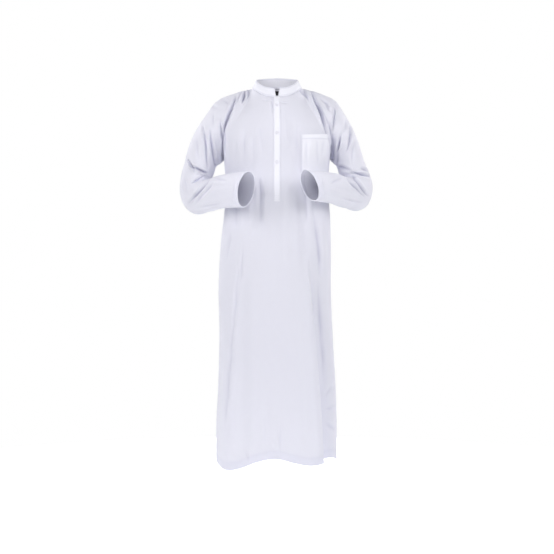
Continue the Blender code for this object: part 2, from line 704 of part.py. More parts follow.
def main():
    for thing in list(bpy.data.objects):
        bpy.data.objects.remove(thing)
    white = material("white_cloth", WHITE_CLOTH)
    black = material("black_cloth", BLACK_CLOTH)
    pearl = material("button_white", BUTTON_WHITE)

    front = panel(-1)
    back = panel(1)
    join_seams(front, back)
    seams = slice(UNDERARM_ROW, None)
    arms = [
        sleeve(ARM_LEFT, front[seams, -1], back[seams, 0], 1),
        sleeve(ARM_RIGHT, front[seams, 0], back[seams, -1], -1),
    ]
    stand = collar(front, back)

    slit = {(row, FRONT_MIDDLE_COLUMN - 1) for row in range(SLIT_FIRST_ROW, len(front))}
    grids = [front, back, *arms, stand]
    faces = [
        grid_faces(*front.shape[:2], open_cells=slit),
        grid_faces(*back.shape[:2]),
        grid_faces(*arms[0].shape[:2], closed=True),
        grid_faces(*arms[1].shape[:2], closed=True),
        grid_faces(*stand.shape[:2]),
    ]
    # The rings of the sleeve at +X run down the arm, so its faces are turned round
    faces[2] = [face[::-1] for face in faces[2]]
    front_ways, back_ways, left_ways, right_ways, stand_ways = shared_normals(grids, faces)

    half = CLOTH / 2
    fold_in = HEM_CLOTH - CLOTH
    hem_rows = np.zeros((len(front), 1))
    hem_rows[:2] = fold_in
    ring_rows = np.zeros((len(arms[0]), 1))
    ring_rows[-2:] = fold_in
    add_cloth("front_panel", front, front_ways, faces[0], half + hem_rows, half, white)
    add_cloth("back_panel", back, back_ways, faces[1], half + hem_rows, half, white)
    add_cloth("sleeve_left", arms[0], left_ways, faces[2], half + ring_rows, half, white)
    add_cloth("sleeve_right", arms[1], right_ways, faces[3], half + ring_rows, half, white)
    add_cloth("collar_band", stand, stand_ways, faces[4], COLLAR_CLOTH / 2, COLLAR_CLOTH / 2, white)

    on_front = half + SEAM_GAP
    strip = (slice(PLACKET_FIRST_ROW, None), slice(FRONT_MIDDLE_COLUMN - 2, FRONT_MIDDLE_COLUMN + 2))
    strip_faces = grid_faces(*front[strip].shape[:2])
    add_cloth(
        "placket_strip", front[strip], front_ways[strip], strip_faces, -on_front, on_front + CLOTH, white, SEAM_GAP
    )

    patch = (slice(POCKET_FIRST_ROW, POCKET_LAST_ROW + 1), slice(POCKET_FIRST_COLUMN, POCKET_LAST_COLUMN + 1))
    patch_faces = grid_faces(*front[patch].shape[:2])
    patch_hem = np.zeros((front[patch].shape[0], 1))
    patch_hem[-2:] = fold_in
    add_cloth(
        "chest_pocket", front[patch], front_ways[patch], patch_faces, -on_front, on_front + CLOTH + patch_hem, white
    )

    tab = (slice(1, COLLAR_ROWS), [-2, -1, 0, 1])
    tab_faces = grid_faces(*stand[tab].shape[:2])
    behind = COLLAR_CLOTH / 2 + SEAM_GAP
    add_cloth("collar_tab", stand[tab], stand_ways[tab], tab_faces, behind + CLOTH, -behind, black)

    middle = (front[:, FRONT_MIDDLE_COLUMN - 1] + front[:, FRONT_MIDDLE_COLUMN]) / 2
    ways = unit(front_ways[:, FRONT_MIDDLE_COLUMN - 1] + front_ways[:, FRONT_MIDDLE_COLUMN])
    for number, height in enumerate(BUTTON_HEIGHTS, start=1):
        place = np.array([np.interp(height, middle[:, 2], middle[:, i]) for i in range(3)])
        way = unit(np.array([np.interp(height, middle[:, 2], ways[:, i]) for i in range(3)]))
        add_button(f"button_{number}", place + way * (on_front + CLOTH + SEAM_GAP), way, pearl)


main()
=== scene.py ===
"""Dresses the thobe: thin folded cloth over its solids, seams, stitches, buttons and a studio stage."""

import math
from functools import lru_cache

import bmesh
import bpy
import numpy as np
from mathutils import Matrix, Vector, noise
from mathutils.geometry import tessellate_polygon


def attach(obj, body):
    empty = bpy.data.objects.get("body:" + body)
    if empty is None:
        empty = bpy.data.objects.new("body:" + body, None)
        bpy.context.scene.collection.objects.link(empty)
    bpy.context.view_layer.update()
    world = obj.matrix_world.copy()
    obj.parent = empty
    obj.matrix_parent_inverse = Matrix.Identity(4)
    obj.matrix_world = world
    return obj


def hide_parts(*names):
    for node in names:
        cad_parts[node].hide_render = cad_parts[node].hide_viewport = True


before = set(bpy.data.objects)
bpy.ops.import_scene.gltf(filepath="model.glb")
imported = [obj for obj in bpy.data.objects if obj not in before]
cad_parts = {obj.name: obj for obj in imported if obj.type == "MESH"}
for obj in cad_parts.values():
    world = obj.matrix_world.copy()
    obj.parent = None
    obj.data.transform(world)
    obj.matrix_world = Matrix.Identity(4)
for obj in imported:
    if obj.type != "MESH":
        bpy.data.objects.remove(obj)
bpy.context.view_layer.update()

bl_info = {
    "name": "Thobe",
    "version": (1, 0, 0),
    "blender": (4, 5, 0),
    "location": "View3D > Sidebar > Thobe",
    "description": "Builds a worn thobe robe piece by piece over its packed solids",
    "category": "Object",
}

BODY = "root"

# Heights of the landmarks, in metres, with the origin between the shoulders
HEM_HEIGHT = -1.238
PLACKET_BOTTOM = -0.385
SLIT_BOTTOM = -0.372
POCKET_BOTTOM = -0.291
UNDERARM_HEIGHT = -0.240

# Shares of the way from the underarm to the neck at which the pocket's hem begins and ends
POCKET_HEM_SHARE = 0.27
POCKET_TOP_SHARE = 0.32

# Half widths of the slit down the front, of the strip over it, and of the gap between the collar's ends
SLIT_HALF = 0.0033
PLACKET_HALF = 0.0105
COLLAR_GAP_TOP_HALF = 0.0080
COLLAR_CORNER = 0.007

# How square a section of the body is: 2 is an ellipse
SQUARENESS = 2.5

# Sections of the body: height, half width towards -X, half width towards +X, front depth, back depth
SECTIONS = (
    (-1.240, 0.203, 0.200, 0.150, 0.150),
    (-1.110, 0.202, 0.199, 0.146, 0.146),
    (-0.990, 0.196, 0.195, 0.141, 0.141),
    (-0.830, 0.192, 0.186, 0.134, 0.134),
    (-0.670, 0.195, 0.180, 0.129, 0.128),
    (-0.510, 0.186, 0.179, 0.125, 0.122),
    (-0.430, 0.177, 0.177, 0.122, 0.119),
    (-0.330, 0.170, 0.171, 0.120, 0.117),
    (-0.240, 0.176, 0.176, 0.120, 0.116),
)

# Middle of the front and of the back, from the underarm to the neck: X, depth, height
FRONT_MIDDLE = (
    (0.0, -0.120, -0.240),
    (0.0, -0.119, -0.172),
    (0.0, -0.111, -0.110),
    (0.0, -0.099, -0.070),
    (0.0, -0.085, -0.043),
)
BACK_MIDDLE = (
    (0.0, 0.116, -0.240),
    (0.0, 0.118, -0.150),
    (0.0, 0.104, -0.070),
    (0.0, 0.085, -0.020),
    (0.0, 0.068, 0.010),
)

# Armhole seams from the underarm to the top of the shoulder: distance from the middle, depth, height
FRONT_ARMHOLE = (
    (0.176, 0.000, -0.240),
    (0.180, -0.030, -0.205),
    (0.177, -0.050, -0.160),
    (0.166, -0.060, -0.120),
    (0.148, -0.058, -0.080),
    (0.131, -0.040, -0.046),
    (0.116, 0.004, -0.008),
)
BACK_ARMHOLE = (
    (0.176, 0.000, -0.240),
    (0.178, 0.034, -0.205),
    (0.171, 0.060, -0.155),
    (0.159, 0.070, -0.110),
    (0.144, 0.064, -0.066),
    (0.129, 0.044, -0.030),
    (0.116, 0.004, -0.008),
)

# Base and top of the collar from the front to the back: angle, half width, depth, height
NECK_BASE = (
    (0.0, 0.000, -0.085, -0.043),
    (30.0, 0.042, -0.073, -0.034),
    (60.0, 0.072, -0.041, -0.014),
    (90.0, 0.083, 0.004, 0.000),
    (135.0, 0.060, 0.050, 0.006),
    (180.0, 0.000, 0.068, 0.010),
)
NECK_TOP = (
    (0.0, 0.000, -0.070, -0.013),
    (30.0, 0.036, -0.059, -0.006),
    (60.0, 0.060, -0.033, 0.010),
    (90.0, 0.069, 0.003, 0.026),
    (135.0, 0.050, 0.041, 0.037),
    (180.0, 0.000, 0.056, 0.043),
)

# Arms from the upper arm to the cuff: distance from the middle, depth, height, radius on the outside
# of the bend, radius on its inside, radius across, the outside of the bend as X, Y and Z, and how far
# the ring slants
ARM_RIGHT = (
    (0.2570, 0.004, -0.262, 0.053, 0.050, 0.054, 1.00, 0.00, 0.00, 0.00),
    (0.2640, 0.004, -0.305, 0.060, 0.045, 0.052, 0.90, 0.20, -0.40, 0.00),
    (0.2550, -0.014, -0.342, 0.082, 0.038, 0.048, 0.62, 0.45, -0.80, 0.00),
    (0.2290, -0.046, -0.354, 0.065, 0.044, 0.042, 0.20, 0.20, -0.95, 0.00),
    (0.1850, -0.095, -0.354, 0.056, 0.053, 0.038, 0.00, 0.00, -1.00, 0.00),
    (0.1350, -0.150, -0.353, 0.056, 0.055, 0.036, 0.00, 0.00, -1.00, 0.15),
    (0.0980, -0.190, -0.353, 0.057, 0.056, 0.036, 0.00, 0.00, -1.00, 0.25),
)
ARM_LEFT = (
    (0.2460, 0.004, -0.256, 0.047, 0.046, 0.053, 1.00, 0.00, 0.00, 0.00),
    (0.2570, 0.004, -0.298, 0.056, 0.045, 0.051, 0.90, 0.20, -0.40, 0.00),
    (0.2550, -0.014, -0.332, 0.080, 0.037, 0.047, 0.62, 0.45, -0.80, 0.00),
    (0.2290, -0.046, -0.345, 0.062, 0.042, 0.041, 0.20, 0.20, -0.95, 0.00),
    (0.1850, -0.095, -0.344, 0.050, 0.050, 0.037, 0.00, 0.00, -1.00, 0.00),
    (0.1400, -0.145, -0.342, 0.048, 0.049, 0.035, 0.00, 0.00, -1.00, 0.30),
    (0.1040, -0.184, -0.341, 0.048, 0.049, 0.035, 0.00, 0.00, -1.00, 0.48),
)
SHOULDER_PULL = 1.32
ARM_PULL = 0.98
SHOULDER_TOP_WAY = (0.93, 0.0, -0.37)
SHOULDER_POINT = 0.010
SHOULDER_POINT_WAY = (0.6, 0.0, 0.8)
SHOULDER_POINT_PLACE = 0.24
SHOULDER_POINT_REACH = 0.13
UNDERARM_WAY = (0.62, 0.0, -0.78)

# Long folds: X and height of the upper end, X and height of the lower end, half width, depth (below
# zero for a trough), and the length over which each end fades out
FRONT_FOLDS = (
    (0.078, -0.300, 0.098, -0.660, 0.018, -0.010, 0.12),
    (0.112, -0.400, 0.142, -0.680, 0.018, -0.009, 0.10),
    (0.094, -0.620, 0.140, -1.300, 0.020, 0.010, 0.20),
    (-0.064, -0.360, -0.052, -0.520, 0.016, -0.006, 0.09),
    (-0.148, -0.420, -0.124, -0.500, 0.014, -0.006, 0.05),
    (-0.120, -0.520, -0.108, -1.300, 0.030, -0.009, 0.22),
    (-0.156, -0.900, -0.160, -1.300, 0.026, 0.010, 0.20),
    (-0.040, -0.800, -0.036, -1.300, 0.034, -0.009, 0.26),
    (0.030, -0.900, 0.034, -1.300, 0.030, -0.006, 0.24),
    (-0.100, -0.090, -0.096, -0.230, 0.022, -0.006, 0.08),
    (0.062, -0.090, 0.060, -0.230, 0.018, -0.005, 0.08),
)
BACK_FOLDS = (
    (0.060, -0.380, 0.092, -1.300, 0.026, -0.014, 0.20),
    (-0.070, -0.420, -0.100, -1.300, 0.028, -0.015, 0.22),
    (0.006, -0.500, -0.010, -1.300, 0.034, 0.012, 0.24),
    (0.140, -0.500, 0.160, -1.300, 0.024, 0.010, 0.22),
    (-0.145, -0.450, -0.160, -1.300, 0.026, 0.011, 0.22),
    (-0.030, -0.100, -0.020, -0.330, 0.026, -0.006, 0.10),
    (0.100, -0.090, 0.110, -0.340, 0.022, -0.006, 0.10),
)

# The deep fold on the wearer's left, where the front laps over the side: height, X of its edge, how
# far the cloth behind the edge steps back, and how far it tucks in under the edge
LAP = (
    (-1.300, 0.1545, 0.062, 0.010),
    (-1.110, 0.1440, 0.058, 0.010),
    (-0.990, 0.1350, 0.052, 0.009),
    (-0.840, 0.1210, 0.044, 0.008),
    (-0.720, 0.1090, 0.032, 0.006),
    (-0.640, 0.1020, 0.016, 0.002),
    (-0.560, 0.0980, 0.000, 0.000),
)
LAP_WIDTH = 0.013
LAP_TOP = -0.560

# The hem against its level, over the front from the side at -X (-1) to the side at +X (1), and the back
HEM_FRONT = (
    (-1.00, 0.008),
    (-0.78, -0.011),
    (-0.58, -0.024),
    (-0.40, -0.013),
    (-0.24, 0.006),
    (0.00, 0.018),
    (0.20, 0.004),
    (0.40, -0.006),
    (0.55, -0.001),
    (0.66, 0.007),
    (1.00, -0.010),
)
HEM_BACK = ((-1.0, 0.008), (-0.5, -0.002), (0.0, 0.002), (0.5, -0.006), (1.0, -0.010))
HEM_REACH = 0.22

# Creases as seen square on from the front or from behind: X and height of one end, X and height of
# the other, how far the middle bows sideways, half width, and depth (below zero for a trough)
BODY_CREASES = (
    (0.111, -0.007, 0.180, -0.208, 0.007, 0.0047, -0.0080),
    (0.132, -0.047, 0.173, -0.154, 0.005, 0.0044, -0.0034),
    (-0.137, -0.023, -0.178, -0.147, -0.003, 0.0054, -0.0066),
    (-0.176, -0.120, -0.181, -0.261, 0.000, 0.0050, -0.0042),
    (-0.107, 0.000, -0.119, -0.053, 0.002, 0.0050, -0.0052),
    (-0.094, 0.000, -0.099, -0.037, 0.002, 0.0044, -0.0034),
    (0.072, 0.010, 0.095, -0.030, -0.002, 0.0050, -0.0056),
    (0.087, 0.004, 0.106, -0.043, -0.002, 0.0044, -0.0036),
    (-0.052, -0.042, -0.015, -0.045, 0.002, 0.0030, -0.0016),
    (0.008, -0.045, 0.039, -0.050, -0.002, 0.0030, -0.0016),
    (-0.016, -0.030, -0.018, -0.087, 0.000, 0.0030, -0.0022),
    (-0.106, -0.141, -0.111, -0.268, 0.000, 0.0130, -0.0019),
    (-0.079, -0.154, -0.084, -0.281, 0.003, 0.0120, -0.0019),
    (-0.135, -0.161, -0.138, -0.258, 0.000, 0.0080, -0.0011),
    (-0.058, -0.127, -0.050, -0.241, 0.003, 0.0130, -0.0012),
    (0.067, -0.124, 0.072, -0.281, -0.002, 0.0110, -0.0018),
    (0.043, -0.120, 0.053, -0.221, -0.003, 0.0130, -0.0011),
    (0.028, -0.074, 0.035, -0.208, 0.000, 0.010, 0.0016),
    (-0.060, -0.295, -0.055, -0.455, 0.002, 0.0087, -0.0034),
    (-0.092, -0.315, -0.095, -0.496, 0.000, 0.0087, 0.0018),
    (-0.139, -0.362, -0.136, -0.469, 0.000, 0.011, -0.0024),
    (-0.156, -0.482, -0.171, -0.583, 0.000, 0.0067, -0.0022),
    (0.035, -0.321, 0.032, -0.583, 0.000, 0.013, 0.0018),
    (0.092, -0.295, 0.102, -0.449, 0.000, 0.0095, -0.0030),
    (0.119, -0.395, 0.144, -0.643, 0.005, 0.0090, -0.0034),
    (0.149, -0.422, 0.166, -0.710, 0.002, 0.0080, 0.0018),
    (-0.112, -0.502, -0.132, -0.710, 0.003, 0.0054, -0.0016),
    (-0.129, -0.583, -0.157, -0.884, 0.003, 0.0060, -0.0020),
    (-0.146, -0.811, -0.179, -1.146, 0.000, 0.010, -0.0022),
    (-0.173, -0.911, -0.189, -1.213, 0.000, 0.0080, 0.0018),
    (0.134, -0.630, 0.157, -1.020, 0.001, 0.0105, -0.0028),
    (0.174, -0.760, 0.188, -1.040, 0.003, 0.0080, 0.0012),
    (0.160, -1.040, 0.206, -0.985, 0.006, 0.0090, -0.0020),
    (0.158, -1.076, 0.200, -1.062, -0.004, 0.0075, -0.0024),
    (0.156, -1.122, 0.212, -1.160, 0.005, 0.0100, -0.0020),
    (-0.045, -1.098, -0.042, -1.239, 0.001, 0.0040, -0.0012),
    (0.010, -1.119, 0.012, -1.228, -0.001, 0.0044, -0.0014),
    (-0.028, -1.186, -0.002, -1.219, 0.000, 0.0060, 0.0014),
    (-0.116, -1.206, -0.092, -1.253, 0.000, 0.0054, -0.0014),
    (-0.149, -1.219, -0.106, -1.246, 0.000, 0.0060, -0.0012),
)

LEFT_SLEEVE_CREASES = (
    (0.111, -0.007, 0.180, -0.208, 0.007, 0.0047, -0.0080),
    (0.197, -0.056, 0.184, -0.143, 0.002, 0.0038, -0.0058),
    (0.161, -0.040, 0.176, -0.077, 0.001, 0.0054, -0.0030),
    (0.139, -0.030, 0.173, -0.052, -0.003, 0.0047, -0.0022),
    (0.169, -0.060, 0.199, -0.080, 0.002, 0.0050, 0.0016),
    (0.220, -0.148, 0.199, -0.222, -0.002, 0.0038, -0.0060),
    (0.229, -0.100, 0.219, -0.181, 0.002, 0.0054, -0.0018),
    (0.243, -0.104, 0.230, -0.221, 0.008, 0.0044, -0.0050),
    (0.263, -0.167, 0.250, -0.261, -0.004, 0.0054, -0.0018),
    (0.187, -0.154, 0.181, -0.275, 0.001, 0.0074, -0.0060),
    (0.203, -0.208, 0.199, -0.268, 0.000, 0.0060, -0.0030),
    (0.183, -0.261, 0.250, -0.278, 0.003, 0.0067, -0.0039),
    (0.240, -0.283, 0.320, -0.301, 0.003, 0.0044, -0.0048),
    (0.250, -0.290, 0.308, -0.365, -0.003, 0.0047, -0.0053),
    (0.243, -0.311, 0.295, -0.365, -0.002, 0.0037, -0.0034),
    (0.229, -0.298, 0.263, -0.342, 0.000, 0.0040, -0.0018),
    (0.276, -0.268, 0.313, -0.285, 0.001, 0.0040, -0.0030),
    (0.219, -0.295, 0.176, -0.321, 0.002, 0.0074, -0.0018),
    (0.149, -0.295, 0.159, -0.368, 0.000, 0.0040, -0.0012),
    (0.209, -0.368, 0.290, -0.385, -0.002, 0.0047, -0.0016),
    (0.176, -0.342, 0.250, -0.362, 0.001, 0.0080, 0.0014),
)

RIGHT_SLEEVE_CREASES = (
    (-0.137, -0.023, -0.178, -0.147, -0.003, 0.0054, -0.0066),
    (-0.188, -0.100, -0.177, -0.194, -0.003, 0.0050, -0.0041),
    (-0.177, -0.167, -0.182, -0.261, 0.000, 0.0074, -0.0057),
    (-0.226, -0.130, -0.203, -0.272, -0.003, 0.0050, -0.0044),
    (-0.250, -0.116, -0.231, -0.276, 0.003, 0.0050, -0.0044),
    (-0.273, -0.154, -0.263, -0.241, 0.000, 0.0060, -0.0016),
    (-0.213, -0.080, -0.216, -0.134, 0.000, 0.0054, -0.0016),
    (-0.233, -0.053, -0.193, -0.074, 0.002, 0.0060, -0.0018),
    (-0.186, -0.040, -0.156, -0.060, 0.002, 0.0054, -0.0020),
    (-0.307, -0.232, -0.274, -0.284, 0.002, 0.0037, -0.0050),
    (-0.293, -0.261, -0.229, -0.290, 0.003, 0.0047, -0.0048),
    (-0.270, -0.271, -0.226, -0.283, -0.002, 0.0034, -0.0032),
    (-0.290, -0.321, -0.246, -0.293, -0.002, 0.0040, -0.0039),
    (-0.300, -0.388, -0.221, -0.300, -0.002, 0.0047, -0.0057),
    (-0.280, -0.395, -0.209, -0.311, 0.000, 0.0054, -0.0028),
    (-0.313, -0.295, -0.300, -0.362, 0.000, 0.0060, -0.0016),
    (-0.219, -0.301, -0.166, -0.311, 0.002, 0.0080, -0.0018),
    (-0.139, -0.295, -0.151, -0.388, 0.000, 0.0037, -0.0012),
    (-0.273, -0.402, -0.173, -0.385, 0.001, 0.0054, -0.0016),
    (-0.233, -0.348, -0.152, -0.335, 0.001, 0.0087, 0.0014),
)

BACK_CREASES = (
    (0.136, -0.027, 0.179, -0.208, 0.007, 0.0060, -0.0046),
    (-0.136, -0.027, -0.178, -0.208, -0.007, 0.0060, -0.0046),
    (-0.052, -0.013, -0.065, -0.134, 0.002, 0.0060, -0.0020),
    (0.062, -0.020, 0.072, -0.147, -0.002, 0.0060, -0.0022),
    (0.008, -0.107, 0.005, -0.342, 0.000, 0.010, -0.0026),
    (-0.116, -0.134, -0.102, -0.295, 0.000, 0.0087, -0.0030),
    (0.112, -0.141, 0.102, -0.308, 0.000, 0.0080, -0.0028),
    (-0.065, -0.268, -0.079, -0.496, 0.000, 0.0094, -0.0034),
    (0.069, -0.281, 0.082, -0.543, 0.000, 0.0094, -0.0036),
    (-0.139, -0.308, -0.085, -0.335, 0.003, 0.0074, -0.0024),
    (0.149, -0.321, 0.092, -0.348, 0.003, 0.0074, -0.0024),
    (-0.112, -0.342, -0.065, -0.362, 0.002, 0.0060, -0.0018),
    (-0.025, -0.496, -0.039, -0.911, 0.003, 0.010, -0.0024),
    (0.032, -0.543, 0.049, -0.978, -0.003, 0.011, -0.0026),
    (0.119, -0.496, 0.149, -0.951, 0.000, 0.0094, -0.0032),
    (-0.126, -0.543, -0.156, -0.978, 0.000, 0.0094, -0.0030),
    (0.075, -0.911, 0.085, -1.233, 0.000, 0.0080, -0.0024),
    (-0.075, -0.945, -0.085, -1.233, 0.000, 0.0080, -0.0022),
    (-0.002, -1.012, 0.005, -1.239, 0.000, 0.0067, -0.0018),
    (-0.166, -1.045, -0.139, -1.032, 0.000, 0.0047, -0.0018),
    (0.142, -1.112, 0.183, -1.092, 0.000, 0.0047, -0.0018),
)

POCKET_CREASES = (
    (0.095, -0.167, 0.101, -0.268, 0.000, 0.0056, -0.0010),
    (0.112, -0.174, 0.109, -0.241, 0.000, 0.0072, 0.0009),
    (0.129, -0.171, 0.136, -0.261, 0.001, 0.0053, -0.0012),
    (0.152, -0.167, 0.146, -0.234, 0.000, 0.0065, -0.0008),
    (0.166, -0.181, 0.168, -0.268, 0.000, 0.0056, -0.0008),
)

# Distance and height of the eye that the creases are laid out for
VIEW_DISTANCE = 3.8
VIEW_HEIGHT = -0.633

# How far a crease strays from its line, how unevenly deep it is, and the shares of its half width at
# its ends and added to that in its middle
CREASE_WANDER = 0.0030
CREASE_UNEVEN = 0.7
CREASE_END_WIDTH = 0.5
CREASE_MIDDLE_MORE = 0.32

# The power of a trough's section, and the low ridges beside it: share of its depth, and distance from
# its middle in widths
TROUGH_POWER = 1.25
RIDGE_HEIGHT = 0.32
RIDGE_PLACE = 2.2

# Depth at which the painted shade in a crease is darkest, and how dark the painted shade is in the seams'
# grooves and along stitched hems
SHADE_DEPTH = 0.0070
SEAM_SHADE = 0.7
HEM_SHADE = 0.20

# Seams and hems: the groove's depth and width, and the puckers' depth and reach
SEAM_DEPTH = 0.0022
SEAM_WIDTH = 0.0032
PUCKER_DEPTH = 0.0014
PUCKER_REACH = 0.010
HEM_GROOVE = 0.0004
HEM_GROOVE_WIDTH = 0.0022
HEM_PUCKER = 0.0011
HEM_PUCKER_REACH = 0.016

# Fine columns and rows: strip, then up to each landmark, then the seam's edge
COLUMNS_STRIP = 3
COLUMNS_RIGHT = (50, 26, 2)
COLUMNS_LEFT = (18, 32, 26, 2)
COLUMNS_BACK = (48, 26, 2)
SEAM_EDGE = 0.0035
HEM_ROWS = (0.0, 0.012, 0.0235, 0.025, 0.0265)
SKIRT_ROWS = 128
WAIST_ROWS = (3, 20)
CHEST_ROWS = 12
POCKET_ROWS = (24, 5)
SHOULDER_ROWS = 56
SHOULDER_RINGS = 46
ARM_RINGS = 118
CUFF_HEM_RINGS = 6
COLLAR_ROWS = 10
SAMPLES = 160

# The bend at the underarm's height: rows that are softened, passes, the step of each, and the share of
# the half width over which the softening fades out towards the seams
SMOOTHED_ROWS = 22
SMOOTHING_PASSES = 190
SMOOTHING_STEP = 0.6
EASE_WIDTH = 0.4

# Share of the way up from the underarm at which the rows start to bend to the top edge, and the share
# of the way to the side, at the underarm, of the column that ends at the side of the neck
TOP_BEND_START = 0.25
FRONT_CORNER = 0.75
BACK_CORNER = 0.74

# Columns and rows of the front at which smaller pieces begin and end
FRONT_MIDDLE_COLUMN = sum(COLUMNS_RIGHT) + COLUMNS_STRIP + 1
BACK_MIDDLE_COLUMN = sum(COLUMNS_BACK)
POCKET_FIRST_COLUMN = FRONT_MIDDLE_COLUMN + COLUMNS_STRIP + COLUMNS_LEFT[0]
POCKET_LAST_COLUMN = POCKET_FIRST_COLUMN + COLUMNS_LEFT[1]
PLACKET_FIRST_ROW = len(HEM_ROWS) - 1 + SKIRT_ROWS
SLIT_FIRST_ROW = PLACKET_FIRST_ROW + WAIST_ROWS[0]
POCKET_FIRST_ROW = SLIT_FIRST_ROW + WAIST_ROWS[1]
UNDERARM_ROW = POCKET_FIRST_ROW + CHEST_ROWS
POCKET_HEM_ROW = UNDERARM_ROW + POCKET_ROWS[0]
POCKET_LAST_ROW = POCKET_HEM_ROW + POCKET_ROWS[1]
HEM_STITCH_ROW = 3

# Columns gather round the deep fold below this height, this far before and behind its edge
GATHER_HEIGHT = -0.620
GATHER_BEFORE = 0.022
GATHER_BEHIND = 0.042

# The pocket's edges as shares of the way from the middle to the side, at its bottom and its top
POCKET_INNER = (0.33, 0.40)
POCKET_OUTER = (0.80, 0.94)

# Flat cuts, as worked out from the pieces' measured areas: width, length and area
FRONT_CUT = (0.640, 1.320, 0.640)
BACK_CUT = (0.640, 1.340, 0.640)

# The strip down the front: the gap under it, how much thinner its pressed edges are, and how far its
# crossed stitches lie above the others
STRIP_GAP = 0.0002
STRIP_EDGE = 0.0008
CROSS_LIFT = 0.0001

# The pocket: the gap under it, how far its top stands open, the ease that holds its creases off the
# front, its thickness beyond one layer of cloth, how much thicker its hem is, the depth at which the
# painted shade of its creases is darkest, and the painted shade along its stitched edges and its hem
POCKET_GAP = 0.0006
POCKET_GAPE = 0.0026
POCKET_EASE = 0.0006
POCKET_EXTRA = 0.0004
POCKET_HEM = 0.0009
POCKET_SHADE_DEPTH = 0.005
POCKET_LINE_SHADE = 0.5

# The collar: the share of its thickness left at its pressed edges, the painted shade along its stitched
# lines, how far round the neck its ends are drawn to their gap, and the tab's distance and thickness
COLLAR_EDGE = 0.55
COLLAR_LINE_SHADE = 0.45
COLLAR_END_REACH = 0.03
TAB_GAP = 0.0006
TAB_THICKNESS = 0.0012

# Buttons: heights of their middles, the gap under them, and the outline from the edge of the dish over
# the rim to the back, as shares of their radius and height
BUTTON_HEIGHTS = (-0.071, -0.165, -0.260)
BUTTON_GAP = 0.0005
BUTTON_OUTLINE = (
    (0.62, 0.55),
    (0.70, 0.68),
    (0.80, 0.94),
    (0.90, 1.00),
    (0.98, 0.84),
    (1.00, 0.56),
    (0.96, 0.22),
    (0.84, 0.00),
    (0.62, 0.00),
)
BUTTON_SIDES = 36

# Holes, bars and shank of thread as shares of a button's radius, and in metres the arch of a bar and the
# height of the shank
HOLE_PLACE = 0.31
HOLE_RADIUS = 0.14
HOLE_SIDES = 12
BAR_RADIUS = 0.09
BAR_ARCH = 0.0006
SHANK_RADIUS = 0.35
SHANK_SIDES = 10
SHANK_HEIGHT = 0.0006

# A buttonhole: half its width and half its length, the points round it, and its stitches' spacing and
# length
BUTTONHOLE_HALVES = (0.0009, 0.0078)
BUTTONHOLE_POINTS = 60
BUTTONHOLE_SPACING = 0.0006
BUTTONHOLE_STITCH = 0.0011

# The floor: its radius, its sides, and how strongly it glows on the cloth
FLOOR_RADIUS = 2.6
FLOOR_SIDES = 96
FLOOR_GLOW = 0.42

# Lamps: name, whose power it takes and what share of it, its size and its place
LAMPS = (
    ("left_key_light", "key", 1.0, 1.4, (-1.6, -1.45, 0.55)),
    ("right_key_light", "key", 0.98, 1.4, (1.65, -1.4, 0.6)),
    ("front_light", "key", 0.11, 0.8, (0.0, -1.7, 0.1)),
    ("left_rim_light", "side", 1.0, 0.8, (-1.9, 1.2, 0.9)),
    ("right_rim_light", "side", 1.0, 0.8, (1.9, 1.3, 0.9)),
    ("back_light", "side", 1.0, 0.8, (-0.5, 2.4, 1.0)),
)
LAMP_COLOUR = (1.0, 0.98, 0.985)
LAMP_AIM = (0.0, 0.0, -0.30)
ROOM_COLOUR = (0.90, 0.94, 1.0, 1.0)
CAMERA_LENS = 73.7


class ThobeCloth(bpy.types.PropertyGroup):
    """The cloth of the garment."""

    white: bpy.props.FloatVectorProperty(
        name="White cloth",
        description="Colour of the robe's cloth and thread",
        subtype="COLOR",
        size=3,
        min=0.0,
        max=1.0,
        default=(0.79, 0.793, 0.885),
    )
    pressed: bpy.props.FloatVectorProperty(
        name="Pressed cloth",
        description="Colour of the doubled and pressed cloth of collar, placket and pocket",
        subtype="COLOR",
        size=3,
        min=0.0,
        max=1.0,
        default=(0.89, 0.895, 0.97),
    )
    black: bpy.props.FloatVectorProperty(
        name="Black tape",
        description="Colour of the tab behind the collar's gap",
        subtype="COLOR",
        size=3,
        min=0.0,
        max=1.0,
        default=(0.012, 0.011, 0.014),
    )
    thickness: bpy.props.FloatProperty(
        name="Cloth", description="Thickness of one layer of cloth", default=0.0008, unit="LENGTH"
    )
    hem: bpy.props.FloatProperty(
        name="Hem", description="Thickness of the cloth where it is hemmed", default=0.0022, unit="LENGTH"
    )
    collar: bpy.props.FloatProperty(
        name="Collar", description="Thickness of the stiffened collar", default=0.0022, unit="LENGTH"
    )
    folds: bpy.props.FloatProperty(
        name="Creases",
        description="Depth of the small creases against the modelled ones",
        default=1.8,
        min=0.0,
    )
    weave: bpy.props.FloatProperty(
        name="Weave", description="Spacing of the threads in the weave", default=0.0007, unit="LENGTH"
    )


class ThobeTrim(bpy.types.PropertyGroup):
    """The thread and the buttons."""

    stitch: bpy.props.FloatProperty(
        name="Stitch", description="Length of a stitch", default=0.0023, unit="LENGTH"
    )
    spacing: bpy.props.FloatProperty(
        name="Stitch spacing", description="From one stitch to the next", default=0.0031, unit="LENGTH"
    )
    thread: bpy.props.FloatProperty(
        name="Thread", description="Radius of the sewing thread", default=0.00032, unit="LENGTH"
    )
    button: bpy.props.FloatProperty(
        name="Button", description="Radius of a button", default=0.0058, unit="LENGTH"
    )
    button_height: bpy.props.FloatProperty(
        name="Button height", description="Thickness of a button at its rim", default=0.0024, unit="LENGTH"
    )
    pearl: bpy.props.FloatVectorProperty(
        name="Button white",
        description="Colour of the buttons",
        subtype="COLOR",
        size=3,
        min=0.0,
        max=1.0,
        default=(0.93, 0.93, 1.0),
    )


